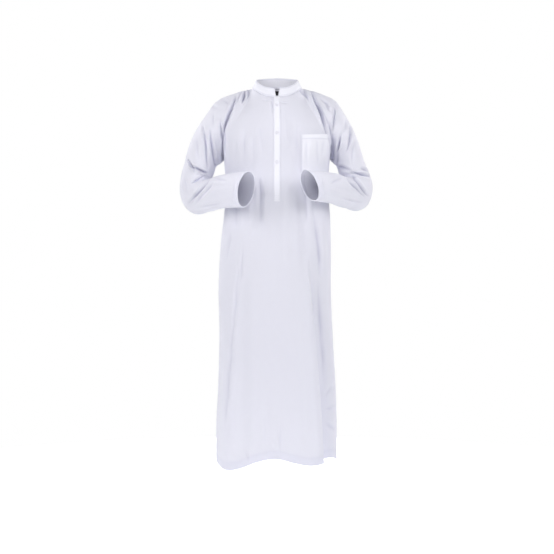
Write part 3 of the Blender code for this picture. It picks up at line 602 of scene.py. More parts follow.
class ThobeStage(bpy.types.PropertyGroup):
    """The floor, the lights and the camera."""

    floor: bpy.props.FloatProperty(
        name="Floor height", description="Height of the floor", default=-1.535, unit="LENGTH"
    )
    pale: bpy.props.FloatVectorProperty(
        name="Floor colour",
        description="Colour of the plain floor",
        subtype="COLOR",
        size=3,
        min=0.0,
        max=1.0,
        default=(0.90, 0.90, 0.90),
    )
    sky: bpy.props.FloatProperty(
        name="Room light", description="Strength of the light from all round", default=0.27, min=0.0
    )
    key: bpy.props.FloatProperty(
        name="Key light",
        description="Power of the stronger of the lamps in front",
        default=28.0,
        unit="POWER",
    )
    side: bpy.props.FloatProperty(
        name="Side lights", description="Power of the lamps behind", default=20.0, unit="POWER"
    )


def smooth_step(t):
    t = np.clip(t, 0.0, 1.0)
    return t * t * (3 - 2 * t)


def read(table, column, at):
    """One column of a table, read smoothly at values of its first column."""
    rows = sorted(table)
    keys = np.array([row[0] for row in rows])
    values = np.array([row[column] for row in rows])
    slopes = np.gradient(values, keys)
    at = np.clip(np.asarray(at, float), keys[0], keys[-1])
    index = np.clip(np.searchsorted(keys, at, side="right") - 1, 0, len(keys) - 2)
    span = keys[index + 1] - keys[index]
    t = (at - keys[index]) / span
    return (
        values[index] * (1 + 2 * t) * (1 - t) ** 2
        + slopes[index] * span * t * (1 - t) ** 2
        + values[index + 1] * t * t * (3 - 2 * t)
        - slopes[index + 1] * span * t * t * (1 - t)
    )


def run_lengths(points):
    """Distance along a polyline to each of its points."""
    steps = np.linalg.norm(np.diff(points, axis=0), axis=1)
    return np.concatenate([[0.0], np.cumsum(steps)])


def along(points, shares):
    """Points at these shares of a polyline's length."""
    lengths = run_lengths(points)
    wanted = np.asarray(shares, float) * lengths[-1]
    return np.stack([np.interp(wanted, lengths, points[:, i]) for i in range(3)], axis=-1)


def spline(table, count):
    """Evenly spaced rows on the smooth curve through a table whose first three columns are a place."""
    table = np.asarray(table, float)
    lengths = run_lengths(table[:, :3])
    keyed = [(length, *row) for length, row in zip(lengths, table)]
    at = np.linspace(0.0, lengths[-1], count)
    return np.stack([read(keyed, i + 1, at) for i in range(table.shape[1])], axis=1)


def unit(vectors):
    return vectors / np.maximum(np.linalg.norm(vectors, axis=-1, keepdims=True), 1e-12)


def body_half(height, side, facing):
    """Half a section of the body, from its middle to the side seam."""
    width = read(SECTIONS, 1 if side < 0 else 2, height)
    depth = read(SECTIONS, 3 if facing < 0 else 4, height)
    angle = np.linspace(0.0, math.pi / 2, SAMPLES)
    power = 2 / SQUARENESS
    x = side * width * np.sin(angle) ** power
    y = facing * depth * np.cos(angle) ** power
    return np.stack([x, y, np.full(SAMPLES, float(height))], axis=1)


def neck_curve(table, side, facing):
    """The quarter of a neck curve from the middle of the front or back to the side of the neck."""
    angles = np.linspace(0.0 if facing < 0 else 180.0, 90.0, SAMPLES)
    points = np.stack([read(table, i, angles) for i in (1, 2, 3)], axis=1)
    return points * (side, 1.0, 1.0)


def top_half(side, facing):
    """Half the top edge of a panel: round the neck, then along the shoulder to the armhole seam."""
    neck = neck_curve(NECK_BASE, side, facing)
    seam = np.array(FRONT_ARMHOLE[-1]) * (side, 1.0, 1.0)
    shoulder = neck[-1] + np.linspace(0.0, 1.0, SAMPLES // 4)[1:, None] * (seam - neck[-1])
    return np.concatenate([neck, shoulder])


def cut_section(middle, seam):
    """The part of a body section between its middle and an armhole seam, level between their heights."""
    reach = abs(seam[1] / middle[1]) if seam[1] * middle[1] > 0 else 0.0
    width = abs(seam[0]) / (1 - reach**SQUARENESS) ** (1 / SQUARENESS)
    end = math.asin(min(1.0, abs(seam[0]) / width) ** (SQUARENESS / 2))
    angle = np.linspace(0.0, end, SAMPLES)
    power = 2 / SQUARENESS
    x = math.copysign(width, seam[0]) * np.sin(angle) ** power
    y = middle[1] * np.cos(angle) ** power
    share = angle / end
    y = y + (seam[1] - y[-1]) * share**2
    return np.stack([x, y, middle[2] + (seam[2] - middle[2]) * share], axis=1)


@lru_cache(maxsize=None)
def upper_lines(side, facing):
    """The middle and the armhole seam of half a panel, and its top edge against a plain section."""
    middle_line = spline(FRONT_MIDDLE if facing < 0 else BACK_MIDDLE, SAMPLES)
    seam_line = spline(FRONT_ARMHOLE if facing < 0 else BACK_ARMHOLE, SAMPLES) * (side, 1.0, 1.0)
    shares = np.linspace(0.0, 1.0, SAMPLES)
    last = cut_section(middle_line[-1], seam_line[-1])
    lift = along(top_half(side, facing), shares) - along(last, shares)
    return middle_line, seam_line, lift


def upper_half(t, side, facing):
    """Half a panel's row, a share t of the way from the underarm up to its top edge."""
    middle_line, seam_line, lift = upper_lines(side, facing)
    row = along(cut_section(along(middle_line, t), along(seam_line, t)), np.linspace(0.0, 1.0, SAMPLES))
    return row + smooth_step((t - TOP_BEND_START) / (1 - TOP_BEND_START)) * lift


def row_keys():
    """Every row of a panel from the hem up: its height, and its share of the way above the underarm."""
    skirt = np.linspace(HEM_HEIGHT + HEM_ROWS[-1], PLACKET_BOTTOM, SKIRT_ROWS + 1)[1:]
    heights = [HEM_HEIGHT + row for row in HEM_ROWS] + list(skirt)
    stops = (PLACKET_BOTTOM, SLIT_BOTTOM, POCKET_BOTTOM, UNDERARM_HEIGHT)
    for low, high, count in zip(stops, stops[1:], (*WAIST_ROWS, CHEST_ROWS)):
        heights.extend(np.linspace(low, high, count + 1)[1:])
    shares = spread([0.0, POCKET_HEM_SHARE, POCKET_TOP_SHARE, 1.0], (*POCKET_ROWS, SHOULDER_ROWS))[1:]
    return [(height, 0.0) for height in heights] + [(UNDERARM_HEIGHT, share) for share in shares]


def spread(stops, counts):
    """Shares that run through these stops with these numbers of columns between them."""
    shares = [stops[0]]
    for start, end, count in zip(stops, stops[1:], counts):
        shares.extend(np.linspace(start, end, count + 1)[1:])
    return shares


@lru_cache(maxsize=None)
def neck_share(side, facing):
    """The share of a panel's top edge that runs round the neck."""
    return run_lengths(neck_curve(NECK_BASE, side, facing))[-1] / run_lengths(top_half(side, facing))[-1]


def column_shares(half, height, t, side, facing):
    """Shares of the way from the middle to the side at which a row's columns lie."""
    lengths = run_lengths(half)
    length = lengths[-1]
    neck = neck_share(side, facing)
    rim = 1 - SEAM_EDGE / length
    if facing > 0:
        corner = BACK_CORNER + (neck - BACK_CORNER) * t
        return spread([0.0, corner, rim, 1.0], COLUMNS_BACK)
    edge = PLACKET_HALF / length
    strip = list(np.linspace(SLIT_HALF / length, edge, COLUMNS_STRIP + 1)[:-1])
    if side < 0:
        corner = FRONT_CORNER + (neck - FRONT_CORNER) * t
        return strip + spread([edge, corner, rim, 1.0], COLUMNS_RIGHT)
    rise = t / POCKET_TOP_SHARE
    if rise <= 1.0:
        inner = POCKET_INNER[0] + (POCKET_INNER[1] - POCKET_INNER[0]) * rise
        outer = POCKET_OUTER[0] + (POCKET_OUTER[1] - POCKET_OUTER[0]) * rise
    else:
        past = (t - POCKET_TOP_SHARE) / (1 - POCKET_TOP_SHARE)
        inner = POCKET_INNER[1]
        outer = POCKET_OUTER[1] + (neck - POCKET_OUTER[1]) * past
    crease = np.interp(read(LAP, 1, max(height, LAP[0][0])), half[:, 0], lengths)
    gather = smooth_step((POCKET_BOTTOM - height) / (POCKET_BOTTOM - GATHER_HEIGHT))
    inner += ((crease - GATHER_BEFORE) / length - inner) * gather
    outer += ((crease + GATHER_BEHIND) / length - outer) * gather
    return strip + spread([edge, inner, outer, rim, 1.0], COLUMNS_LEFT)


def plain_panel(facing):
    """A panel's points before its folds, rows from the hem up, columns from left to right as seen."""
    rows = []
    for height, t in row_keys():
        halves = {}
        for side in (-1, 1):
            half = upper_half(t, side, facing) if t > 0 else body_half(height, side, facing)
            halves[side] = along(half, column_shares(half, height, t, side, facing))
        if facing < 0:
            rows.append(np.concatenate([halves[-1][::-1], halves[1]]))
        else:
            rows.append(np.concatenate([halves[1][::-1], halves[-1][1:]]))
    return np.array(rows)


def eased(grid):
    """The points of a panel with the bend at the underarm's height softened, but for those at its seams."""
    columns = np.linspace(-1.0, 1.0, grid.shape[1])
    inside = smooth_step((1 - np.abs(columns)) / EASE_WIDTH)
    near = np.exp(-(((np.arange(len(grid)) - UNDERARM_ROW) / SMOOTHED_ROWS) ** 2))
    soft = (near[:, None] * inside)[1:-1, :, None]
    for _ in range(SMOOTHING_PASSES):
        grid[1:-1] += soft * ((grid[:-2] + grid[2:]) / 2 - grid[1:-1]) * SMOOTHING_STEP
    return grid


def grid_normals(grid):
    """Outward directions of a panel's points."""
    return unit(np.cross(np.gradient(grid, axis=1), np.gradient(grid, axis=0)))


def fold_heights(grid, folds):
    """How far the long folds lift each point of a panel."""
    lift = np.zeros(grid.shape[:2])
    for index, row in enumerate(grid):
        lengths = run_lengths(row)
        order = np.argsort(row[:, 0])
        height = row[:, 2].mean()
        for top_x, top, low_x, low, width, depth, fade in folds:
            share = np.clip((top - height) / (top - low), 0.0, 1.0)
            centre = np.interp(top_x + (low_x - top_x) * share, row[order, 0], lengths[order])
            ends = smooth_step((top - height) / fade) * smooth_step((height - low) / fade)
            lift[index] += depth * ends * np.exp(-(((lengths - centre) / width) ** 2))
    return lift


def lap_shift(grid):
    """How the deep fold moves each point of the front: back behind its edge, and in under it."""
    shift = np.zeros(grid.shape)
    for index, row in enumerate(grid):
        height = row[:, 2].mean()
        if height > LAP_TOP:
            continue
        lengths = run_lengths(row)
        edge = np.interp(read(LAP, 1, height), row[:, 0], lengths)
        behind = (lengths - edge) / LAP_WIDTH
        to_side = np.clip((lengths - edge) / (lengths[-1] - edge), 0.0, 1.0)
        shift[index, :, 1] = read(LAP, 2, height) * smooth_step(behind) * (1 - to_side) ** 1.2
        tuck = smooth_step(behind) * (1 - smooth_step((behind - 1.0) / 2.5))
        shift[index, :, 0] = -read(LAP, 3, height) * tuck
    return shift


def hem_shift(grid, table):
    """How far each point of a panel rises or drops for the waves of the hem."""
    shift = np.zeros(grid.shape[:2])
    for index, row in enumerate(grid):
        reach = 1 - smooth_step((row[:, 2].mean() - HEM_HEIGHT) / HEM_REACH)
        toward = 1.0 if row[-1, 0] > 0 else -1.0
        lengths = run_lengths(row)
        order = np.argsort(row[:, 0])
        past = lengths - np.interp(0.0, row[order, 0], lengths[order])
        share = toward * np.where(past < 0, -past / past[0], past / past[-1])
        shift[index] = reach * read(table, 1, share)
    return shift


def panel(facing):
    """A panel's points with its folds, in the middle of its cloth."""
    grid = eased(plain_panel(facing))
    lift = fold_heights(grid, FRONT_FOLDS if facing < 0 else BACK_FOLDS)
    folded = grid + grid_normals(grid) * lift[..., None]
    if facing < 0:
        folded += lap_shift(grid)
    folded[..., 2] += hem_shift(grid, HEM_FRONT if facing < 0 else HEM_BACK)
    return folded


def join_seams(front, back):
    """Gives the back the front's own points along the side seams and the shoulder seams."""
    sides = slice(0, UNDERARM_ROW + 1)
    shoulder = sum(COLUMNS_BACK[1:]) + 1
    back[sides, 0], back[sides, -1] = front[sides, -1], front[sides, 0]
    back[-1, :shoulder] = front[-1, : -shoulder - 1 : -1]
    back[-1, -shoulder:] = front[-1, shoulder - 1 :: -1]


def arm_rings(table, count, sides):
    """Rings of points round an arm on the +X side, and the way the arm leaves its first ring."""
    rows = spline(table, count)
    centres = rows[:, :3]
    ways = unit(np.gradient(centres, axis=0))
    turns = 2 * math.pi * np.arange(sides) / sides
    start = np.array((1.0, 0.0, 0.0))
    rings = []
    for centre, way, row in zip(centres, ways, rows):
        start = unit(start - way * (start @ way))
        front = np.cross(way, start)
        ring = -np.cos(turns)[:, None] * start + np.sin(turns)[:, None] * front
        bend = unit(row[6:9] - way * (row[6:9] @ way))
        outward = ring @ bend
        across = ring @ np.cross(way, bend)
        # The two radii blend over the sides of the ring, so that the wall has no edge there
        share = smooth_step(outward / 0.5 + 0.5)
        radius = row[3] * share + row[4] * (1 - share)
        reach = 1 / np.sqrt((outward / radius) ** 2 + (across / row[5]) ** 2)
        slant = -way * (row[9] * outward * reach)[:, None]
        rings.append(centre + ring * reach[:, None] + slant)
    return np.array(rings), ways[0]


def sleeve(table, front_seam, back_seam, side):
    """A sleeve's rings from its armhole to its cuff, from armhole seams that run from the underarm up."""
    mirror = np.array((side, 1.0, 1.0))
    armhole = np.concatenate([front_seam, back_seam[-2:0:-1]]) * mirror
    rings, way = arm_rings(table, ARM_RINGS, len(armhole))
    turns = 2 * math.pi * np.arange(len(armhole)) / len(armhole)
    height = ((1 - np.cos(turns)) / 2)[:, None]
    leave = unit(np.array(UNDERARM_WAY) * (1 - height) + np.array(SHOULDER_TOP_WAY) * height)
    span = np.linalg.norm(rings[0] - armhole, axis=1)[:, None]
    shoulder = []
    for t in np.linspace(0.0, 1.0, SHOULDER_RINGS + 1)[:-1]:
        ring = armhole * (1 + 2 * t) * (1 - t) ** 2
        ring = ring + leave * span * SHOULDER_PULL * t * (1 - t) ** 2
        ring = ring + rings[0] * t * t * (3 - 2 * t)
        ring = ring - way * span * ARM_PULL * t * t * (1 - t)
        point = SHOULDER_POINT * math.exp(-(((t - SHOULDER_POINT_PLACE) / SHOULDER_POINT_REACH) ** 2))
        shoulder.append(ring + point * height**4 * np.array(SHOULDER_POINT_WAY) * min(1.0, t / 0.1))
    return np.concatenate([np.array(shoulder), rings]) * mirror


def collar_top(side, facing):
    """The collar's top edge over one quarter, with the columns of the panel below it."""
    half = top_half(side, facing)
    neck = neck_share(side, facing)
    shares = np.array(column_shares(half, UNDERARM_HEIGHT, 1.0, side, facing))
    shares = shares[shares < neck + 1e-9] / neck
    return along(neck_curve(NECK_TOP, side, facing), shares)


def collar(front, back):
    """The collar's points: columns from its end at +X round the back to -X, rows from its seam up."""
    tops = {(side, facing): collar_top(side, facing) for side in (-1, 1) for facing in (-1, 1)}
    right, left = len(tops[-1, -1]), len(tops[1, -1])
    behind = len(tops[1, 1])
    middle, centre = FRONT_MIDDLE_COLUMN, BACK_MIDDLE_COLUMN
    base = np.concatenate([
        front[-1, middle : middle + left],
        back[-1, centre - behind + 2 : centre + behind - 1],
        front[-1, middle - right : middle],
    ])
    top = np.concatenate([tops[1, -1], tops[1, 1][::-1][1:], tops[-1, 1][1:-1], tops[-1, -1][::-1]])
    rows = np.linspace(0.0, 1.0, COLLAR_ROWS + 1)[:, None, None]
    # The two front corners are rounded off
    reach = np.minimum(run_lengths(top), run_lengths(top[::-1])[::-1])
    past = np.clip(1 - reach / COLLAR_CORNER, 0.0, 1.0)
    drop = COLLAR_CORNER * (1 - np.sqrt(1 - past**2)) / np.linalg.norm(top - base, axis=1)
    rows = rows * (1 - drop[None, :, None] * rows**2)
    grid = base * (1 - rows) + top * rows
    ends = SLIT_HALF + (COLLAR_GAP_TOP_HALF - SLIT_HALF) * rows[:, 0, 0]
    shift = ends - grid[:, 0, 0]
    fade = np.clip(1 - reach / COLLAR_END_REACH, 0.0, 1.0) ** 2
    half = len(top) // 2
    grid[:, :half, 0] += shift[:, None] * fade[:half]
    grid[:, half:, 0] -= shift[:, None] * fade[half:]
    return grid


def grid_faces(rows, columns, closed=False, open_cells=()):
    """The faces of a grid of points. closed joins its last column to its first."""
    faces = []
    for row in range(rows - 1):
        for column in range(columns if closed else columns - 1):
            if (row, column) in open_cells:
                continue
            after = (column + 1) % columns
            low, high = row * columns, (row + 1) * columns
            faces.append((low + column, low + after, high + after, high + column))
    return faces


def shared_places(grids):
    """For each point of every grid, the number that it shares with the points in the same place."""
    points = np.concatenate([grid.reshape(-1, 3) for grid in grids])
    _, shared = np.unique(np.round(points, 6), axis=0, return_inverse=True)
    return shared.reshape(-1)


def parted(values, grids):
    """One array for all points of the grids, cut back into one array for each grid."""
    ends = np.cumsum([grid.shape[0] * grid.shape[1] for grid in grids])[:-1]
    parts = np.split(values, ends)
    return [part.reshape(*grid.shape[:2], -1) for part, grid in zip(parts, grids)]


def shared_normals(grids, faces, shared):
    """Outward directions at the points of grids, the same on both sides of a seam."""
    points = np.concatenate([grid.reshape(-1, 3) for grid in grids])
    starts = np.cumsum([0, *(grid.shape[0] * grid.shape[1] for grid in grids)])
    quads = np.concatenate([np.array(face) + start for face, start in zip(faces, starts)])
    corner = points[quads]
    face_normals = np.cross(corner[:, 2] - corner[:, 0], corner[:, 3] - corner[:, 1])
    sums = np.zeros((shared.max() + 1, 3))
    for place in range(4):
        np.add.at(sums, shared[quads[:, place]], face_normals)
    return parted(unit(sums)[shared], grids)


def flat_view(grid, facing):
    """X and height of points as they are seen square on from the front (-1) or from behind (1)."""
    scale = VIEW_DISTANCE / (VIEW_DISTANCE - facing * grid[..., 1])
    return grid[..., 0] * scale, VIEW_HEIGHT + (grid[..., 2] - VIEW_HEIGHT) * scale


def crease_heights(grid, ways, creases, facing):
    """How far the creases of a table lift each point that faces the front (-1) or the back (1)."""
    x, z = flat_view(grid, facing)
    faces_view = smooth_step(facing * ways[..., 1] / 0.35)
    lift = np.zeros(grid.shape[:2])
    wander = CREASE_WANDER * ripple(grid, 18.0, 18.0, 3)
    vary = 1 + CREASE_UNEVEN * ripple(grid, 26.0, 14.0, 4)
    for x1, z1, x2, z2, bow, width, depth in creases:
        length = math.hypot(x2 - x1, z2 - z1)
        way_x, way_z = (x2 - x1) / length, (z2 - z1) / length
        share = ((x - x1) * way_x + (z - z1) * way_z) / length
        inside = (share > 0) & (share < 1)
        share = np.clip(share, 0.0, 1.0)
        off = (x - x1) * way_z - (z - z1) * way_x + bow * 4 * share * (1 - share) + wander
        ends = np.sin(math.pi * share)
        wide = width * (CREASE_END_WIDTH + CREASE_MIDDLE_MORE * ends)
        past = np.abs(off) / wide
        trough = np.exp(-(past**TROUGH_POWER)) - RIDGE_HEIGHT * np.exp(-((past - RIDGE_PLACE) ** 2))
        lift += inside * depth * ends**0.7 * trough
    return lift * faces_view * vary


def mirrored(creases):
    """The rows of a table of creases for the other side."""
    return [(-row[0], row[1], -row[2], row[3], -row[4], *row[5:]) for row in creases]


def ripple(grid, across, upward, seed):
    """A soft irregular wave over a grid, from -1 to 1, with these numbers of waves in a metre."""
    points = grid.reshape(-1, 3) * (across, across, upward) + seed * 17.3
    return np.array([noise.noise(Vector(point)) for point in points]).reshape(grid.shape[:2])


def grid_lengths(grid):
    """Metres across and up the cloth from its first column and row to each point of a grid."""
    across = np.linalg.norm(np.diff(grid, axis=1), axis=2).cumsum(axis=1)
    upward = np.linalg.norm(np.diff(grid, axis=0), axis=2).cumsum(axis=0)
    return np.pad(across, ((0, 0), (1, 0))), np.pad(upward, ((1, 0), (0, 0)))


def seam_dip(grid, edges):
    """How far the cloth sinks at the seams along these edges of a grid: left, right, bottom, top."""
    across, upward = grid_lengths(grid)
    distance = {
        "left": across,
        "right": across[:, -1:] - across,
        "bottom": upward,
        "top": upward[-1:] - upward,
    }
    nearest = np.min([distance[edge] for edge in edges], axis=0)
    pucker = 0.5 * ripple(grid, 90.0, 90.0, 5)
    groove = SEAM_DEPTH * np.exp(-nearest / SEAM_WIDTH)
    return PUCKER_DEPTH * np.exp(-nearest / PUCKER_REACH) * pucker - groove


def hem_pucker(grid, stitched):
    """How dark the painted shade along the stitched line of a hem is at each point, and how its small
    puckers lift the cloth.
    """
    upward = grid_lengths(grid)[1]
    past = upward - upward[stitched]
    wave = ripple(grid, 70.0, 24.0, 9)
    pucker = HEM_PUCKER * wave * np.exp(-((past / HEM_PUCKER_REACH) ** 2))
    groove = np.exp(-((past / HEM_GROOVE_WIDTH) ** 2))
    return HEM_SHADE * groove, pucker - HEM_GROOVE * groove


@lru_cache(maxsize=None)
def robe(folds):
    """Grids of front, back, sleeves and collar with every crease, and their faces, ways out and painted
    shade.
    """
    front, back = panel(-1), panel(1)
    join_seams(front, back)
    seams = slice(UNDERARM_ROW, None)
    left = sleeve(ARM_LEFT, front[seams, -1], back[seams, 0], 1)
    right = sleeve(ARM_RIGHT, front[seams, 0], back[seams, -1], -1)
    grids = [front, back, left, right, collar(front, back)]
    slit = {(row, FRONT_MIDDLE_COLUMN - 1) for row in range(SLIT_FIRST_ROW, len(front))}
    faces = [
        grid_faces(*grid.shape[:2], closed=at in (2, 3), open_cells=slit if at == 0 else ())
        for at, grid in enumerate(grids)
    ]
    # The rings of the sleeve at +X run down the arm, so its faces are turned round
    faces[2] = [face[::-1] for face in faces[2]]
    shared = shared_places(grids)
    ways = shared_normals(grids, faces, shared)

    # Behind, each sleeve has the other sleeve's creases. A row gives the creases seen from the front and
    # from behind, the edges with seams, the depth of the soft waves, how strong the creases' painted shade
    # is and the hem's row
    sides = ("left", "right", "top")
    cuff = -1 - CUFF_HEM_RINGS
    plans = (
        (BODY_CREASES, (), sides, 0.0012, 1.0, HEM_STITCH_ROW),
        ((), BACK_CREASES, sides, 0.0016, 0.4, HEM_STITCH_ROW),
        (LEFT_SLEEVE_CREASES, mirrored(RIGHT_SLEEVE_CREASES), ("bottom",), 0.0014, 1.5, cuff),
        (RIGHT_SLEEVE_CREASES, mirrored(LEFT_SLEEVE_CREASES), ("bottom",), 0.0014, 1.5, cuff),
        ((), (), ("bottom",), 0.0, 0.0, None),
    )
    lifts = []
    shades = []
    for grid, way, (seen, hidden, edges, soft, tone, hem) in zip(grids, ways, plans):
        lift = folds * crease_heights(grid, way, seen, -1)
        lift += folds * crease_heights(grid, way, hidden, 1)
        dip = seam_dip(grid, edges)
        # Painted shade: darker in the troughs of the creases and in the seams' grooves
        shade = tone * np.clip(-lift / SHADE_DEPTH, 0.0, 1.0) ** 1.5
        shade += SEAM_SHADE * np.clip(-dip / SEAM_DEPTH, 0.0, 1.0)
        if soft:
            lift += soft * ripple(grid, 16.0, 5.0, 1) + soft * 0.35 * ripple(grid, 50.0, 22.0, 2)
        if hem is not None:
            # Painted shade along the hem's stitched groove, and the puckers beside it
            line, pucker = hem_pucker(grid, hem)
            lift += pucker
            shade += line
        lifts.append(lift + dip)
        shades.append(np.clip(shade, 0.0, 1.0))
    moves = np.concatenate([(way * lift[..., None]).reshape(-1, 3) for way, lift in zip(ways, lifts)])
    sums = np.zeros((shared.max() + 1, 3))
    np.add.at(sums, shared, moves)
    moves = (sums / np.bincount(shared)[:, None])[shared]
    grids = [grid + move for grid, move in zip(grids, parted(moves, grids))]
    return grids, faces, shared_normals(grids, faces, shared), shades


def fibre_map(grid):
    """Metres across and along the cloth at each point, for the weave."""
    across, upward = grid_lengths(grid)
    middle = grid.shape[1] // 2
    return np.stack([across - across[:, middle : middle + 1], upward], axis=-1)


def add_mesh(name, points, faces, finish):
    mesh = bpy.data.meshes.new(name)
    mesh.from_pydata([tuple(point) for point in points], [], faces)
    mesh.shade_smooth()
    mesh.materials.append(finish)
    piece = bpy.data.objects.new(name, mesh)
    bpy.context.scene.collection.objects.link(piece)
    return piece


def add_cloth(name, grid, ways, faces, inside, outside, finish, shade=0.0, closed=False):
    """A closed wall of cloth round a grid of points, with the weave's map and the painted shade on it."""
    points = grid.reshape(-1, 3)
    ways = ways.reshape(-1, 3)
    inside = np.broadcast_to(inside, grid.shape[:2]).reshape(-1, 1)
    outside = np.broadcast_to(outside, grid.shape[:2]).reshape(-1, 1)
    count = len(points)
    edges = {(face[i], face[(i + 1) % 4]) for face in faces for i in range(4)}
    walls = [tuple(face) for face in faces]
    walls += [tuple(corner + count for corner in face[::-1]) for face in faces]
    walls += [(b, a, a + count, b + count) for a, b in sorted(edges) if (b, a) not in edges]
    piece = add_mesh(name, np.concatenate([points + ways * outside, points - ways * inside]), walls, finish)
    mesh = piece.data
    mesh.set_sharp_from_angle(angle=math.radians(50))
    fibres = fibre_map(grid).reshape(-1, 2)
    corners = np.array(walls).reshape(-1) % count
    spots = fibres[corners].reshape(-1, 4, 2)
    if closed:
        lap = np.linalg.norm(grid[:, 0] - grid[:, -1], axis=1) + np.ptp(fibre_map(grid)[..., 0], axis=1)
        around = np.repeat(lap, grid.shape[1])[corners].reshape(-1, 4)
        wraps = np.ptp(spots[..., 0], axis=1, keepdims=True) > around.max(axis=1, keepdims=True) / 2
        spots[..., 0] += np.where(wraps & (spots[..., 0] < 0), around, 0.0)
    layer = mesh.uv_layers.new(name="Fibres")
    layer.data.foreach_set("uv", spots.reshape(-1))
    # The painted shade of creases, seam grooves and stitched lines, by which the material darkens the
    # colour
    crease = mesh.attributes.new("PaintedShade", "FLOAT", "POINT")
    crease.data.foreach_set("value", np.tile(np.broadcast_to(shade, grid.shape[:2]).reshape(-1), 2))
    return piece


def new_material(name):
    made = bpy.data.materials.new(name)
    made.use_nodes = True
    nodes = made.node_tree.nodes
    return made, nodes, made.node_tree.links, nodes["Principled BSDF"]


def object_noise(nodes, links, scale, **settings):
    """Noise on a piece's own coordinates."""
    place = nodes.new("ShaderNodeTexCoord")
    figure = nodes.new("ShaderNodeTexNoise")
    figure.inputs["Scale"].default_value = scale
    for name, value in settings.items():
        figure.inputs[name].default_value = value
    links.new(place.outputs["Object"], figure.inputs["Vector"])
    return figure.outputs["Fac"]


def toned(nodes, links, factor, colour, dimmed):
    """A colour that rises with the factor from a dimmed share of itself to the whole."""
    tone = nodes.new("ShaderNodeMix")
    tone.data_type = "RGBA"
    tone.inputs["A"].default_value = (*(dimmed * part for part in colour), 1.0)
    tone.inputs["B"].default_value = (*colour, 1.0)
    links.new(factor, tone.inputs["Factor"])
    return tone.outputs["Result"]


def bumped(nodes, links, height, strength, distance):
    """A bump node over a height."""
    bump = nodes.new("ShaderNodeBump")
    bump.inputs["Strength"].default_value = strength
    bump.inputs["Distance"].default_value = distance
    links.new(height, bump.inputs["Height"])
    return bump


def math_node(nodes, links, operation, *values):
    node = nodes.new("ShaderNodeMath")
    node.operation = operation
    for socket, value in zip(node.inputs, values):
        if isinstance(value, (int, float)):
            socket.default_value = value
        else:
            links.new(value, socket)
    return node.outputs[0]


@lru_cache(maxsize=None)
def woven(name, colour, weave, roughness, sheen, crumple, thinness):
    """Plain woven cloth: crossing threads from the Fibres map, slubs, soft small crumples, and painted
    shade in creases, seam grooves and stitched lines.
    """
    made, nodes, links, shader = new_material(name)
    fibres = nodes.new("ShaderNodeUVMap")
    fibres.uv_map = "Fibres"
    parts = nodes.new("ShaderNodeSeparateXYZ")
    links.new(fibres.outputs[0], parts.inputs[0])
    turn = 2 * math.pi / weave
    waves = []
    for direction in (0, 1):
        turned = math_node(nodes, links, "MULTIPLY", parts.outputs[direction], turn)
        waves.append(math_node(nodes, links, "SINE", turned))
    cross = math_node(nodes, links, "MULTIPLY", *waves)

    slub = nodes.new("ShaderNodeTexNoise")
    stretch = nodes.new("ShaderNodeMapping")
    stretch.inputs["Scale"].default_value = (900.0, 60.0, 1.0)
    links.new(fibres.outputs[0], stretch.inputs["Vector"])
    links.new(stretch.outputs[0], slub.inputs["Vector"])
    slub.inputs["Scale"].default_value = 1.0
    slub.inputs["Detail"].default_value = 2.0
    height = math_node(nodes, links, "ADD", cross, slub.outputs["Fac"])

    crumpled = object_noise(nodes, links, 46.0, Detail=3.0, Roughness=0.55)
    soft = bumped(nodes, links, crumpled, crumple, 0.004)
    fine = bumped(nodes, links, height, 0.22, weave * 0.25)
    links.new(soft.outputs[0], fine.inputs["Normal"])
    links.new(fine.outputs[0], shader.inputs["Normal"])

    # The threads' own tone varies a little, and the gaps between them are a little darker
    share = math_node(nodes, links, "MULTIPLY", height, 0.35)
    tone = toned(nodes, links, math_node(nodes, links, "ADD", share, 0.45), colour, 0.93)

    # Painted shade: the colour is darkened and turned bluer where the point attribute read here holds the
    # painted shade of crease troughs, seam grooves and stitched lines
    pressed = nodes.new("ShaderNodeAttribute")
    pressed.attribute_name = "PaintedShade"
    painted_shade_mix = nodes.new("ShaderNodeMix")
    painted_shade_mix.data_type = "RGBA"
    links.new(tone, painted_shade_mix.inputs["A"])
    painted_shade_mix.inputs["B"].default_value = (*(part * by for part, by in zip(colour, (0.60, 0.60, 0.69))), 1.0)
    links.new(math_node(nodes, links, "MULTIPLY", pressed.outputs["Fac"], 0.6), painted_shade_mix.inputs["Factor"])
    links.new(painted_shade_mix.outputs["Result"], shader.inputs["Base Color"])

    rough = nodes.new("ShaderNodeMapRange")
    rough.inputs["To Min"].default_value = roughness - 0.06
    rough.inputs["To Max"].default_value = roughness + 0.06
    links.new(crumpled, rough.inputs["Value"])
    links.new(rough.outputs[0], shader.inputs["Roughness"])
    shader.inputs["Sheen Weight"].default_value = sheen
    shader.inputs["Sheen Roughness"].default_value = 0.35
    shader.inputs["Specular IOR Level"].default_value = 0.3
    shader.inputs["Subsurface Weight"].default_value = thinness
    shader.inputs["Subsurface Radius"].default_value = (1.0, 1.0, 1.0)
    shader.inputs["Subsurface Scale"].default_value = 0.003
    return made


def white_cloth():
    cloth = bpy.context.scene.thobe_cloth
    look = {"roughness": 0.62, "sheen": 0.22, "crumple": 0.10, "thinness": 0.4}
    return woven("thobe_white_cloth", tuple(cloth.white), cloth.weave, **look)


def pressed_cloth():
    cloth = bpy.context.scene.thobe_cloth
    look = {"roughness": 0.58, "sheen": 0.22, "crumple": 0.06, "thinness": 0.3}
    return woven("thobe_pressed_cloth", tuple(cloth.pressed), cloth.weave, **look)


def black_tape():
    cloth = bpy.context.scene.thobe_cloth
    look = {"roughness": 0.80, "sheen": 0.10, "crumple": 0.05, "thinness": 0.0}
    return woven("thobe_black_tape", tuple(cloth.black), cloth.weave, **look)


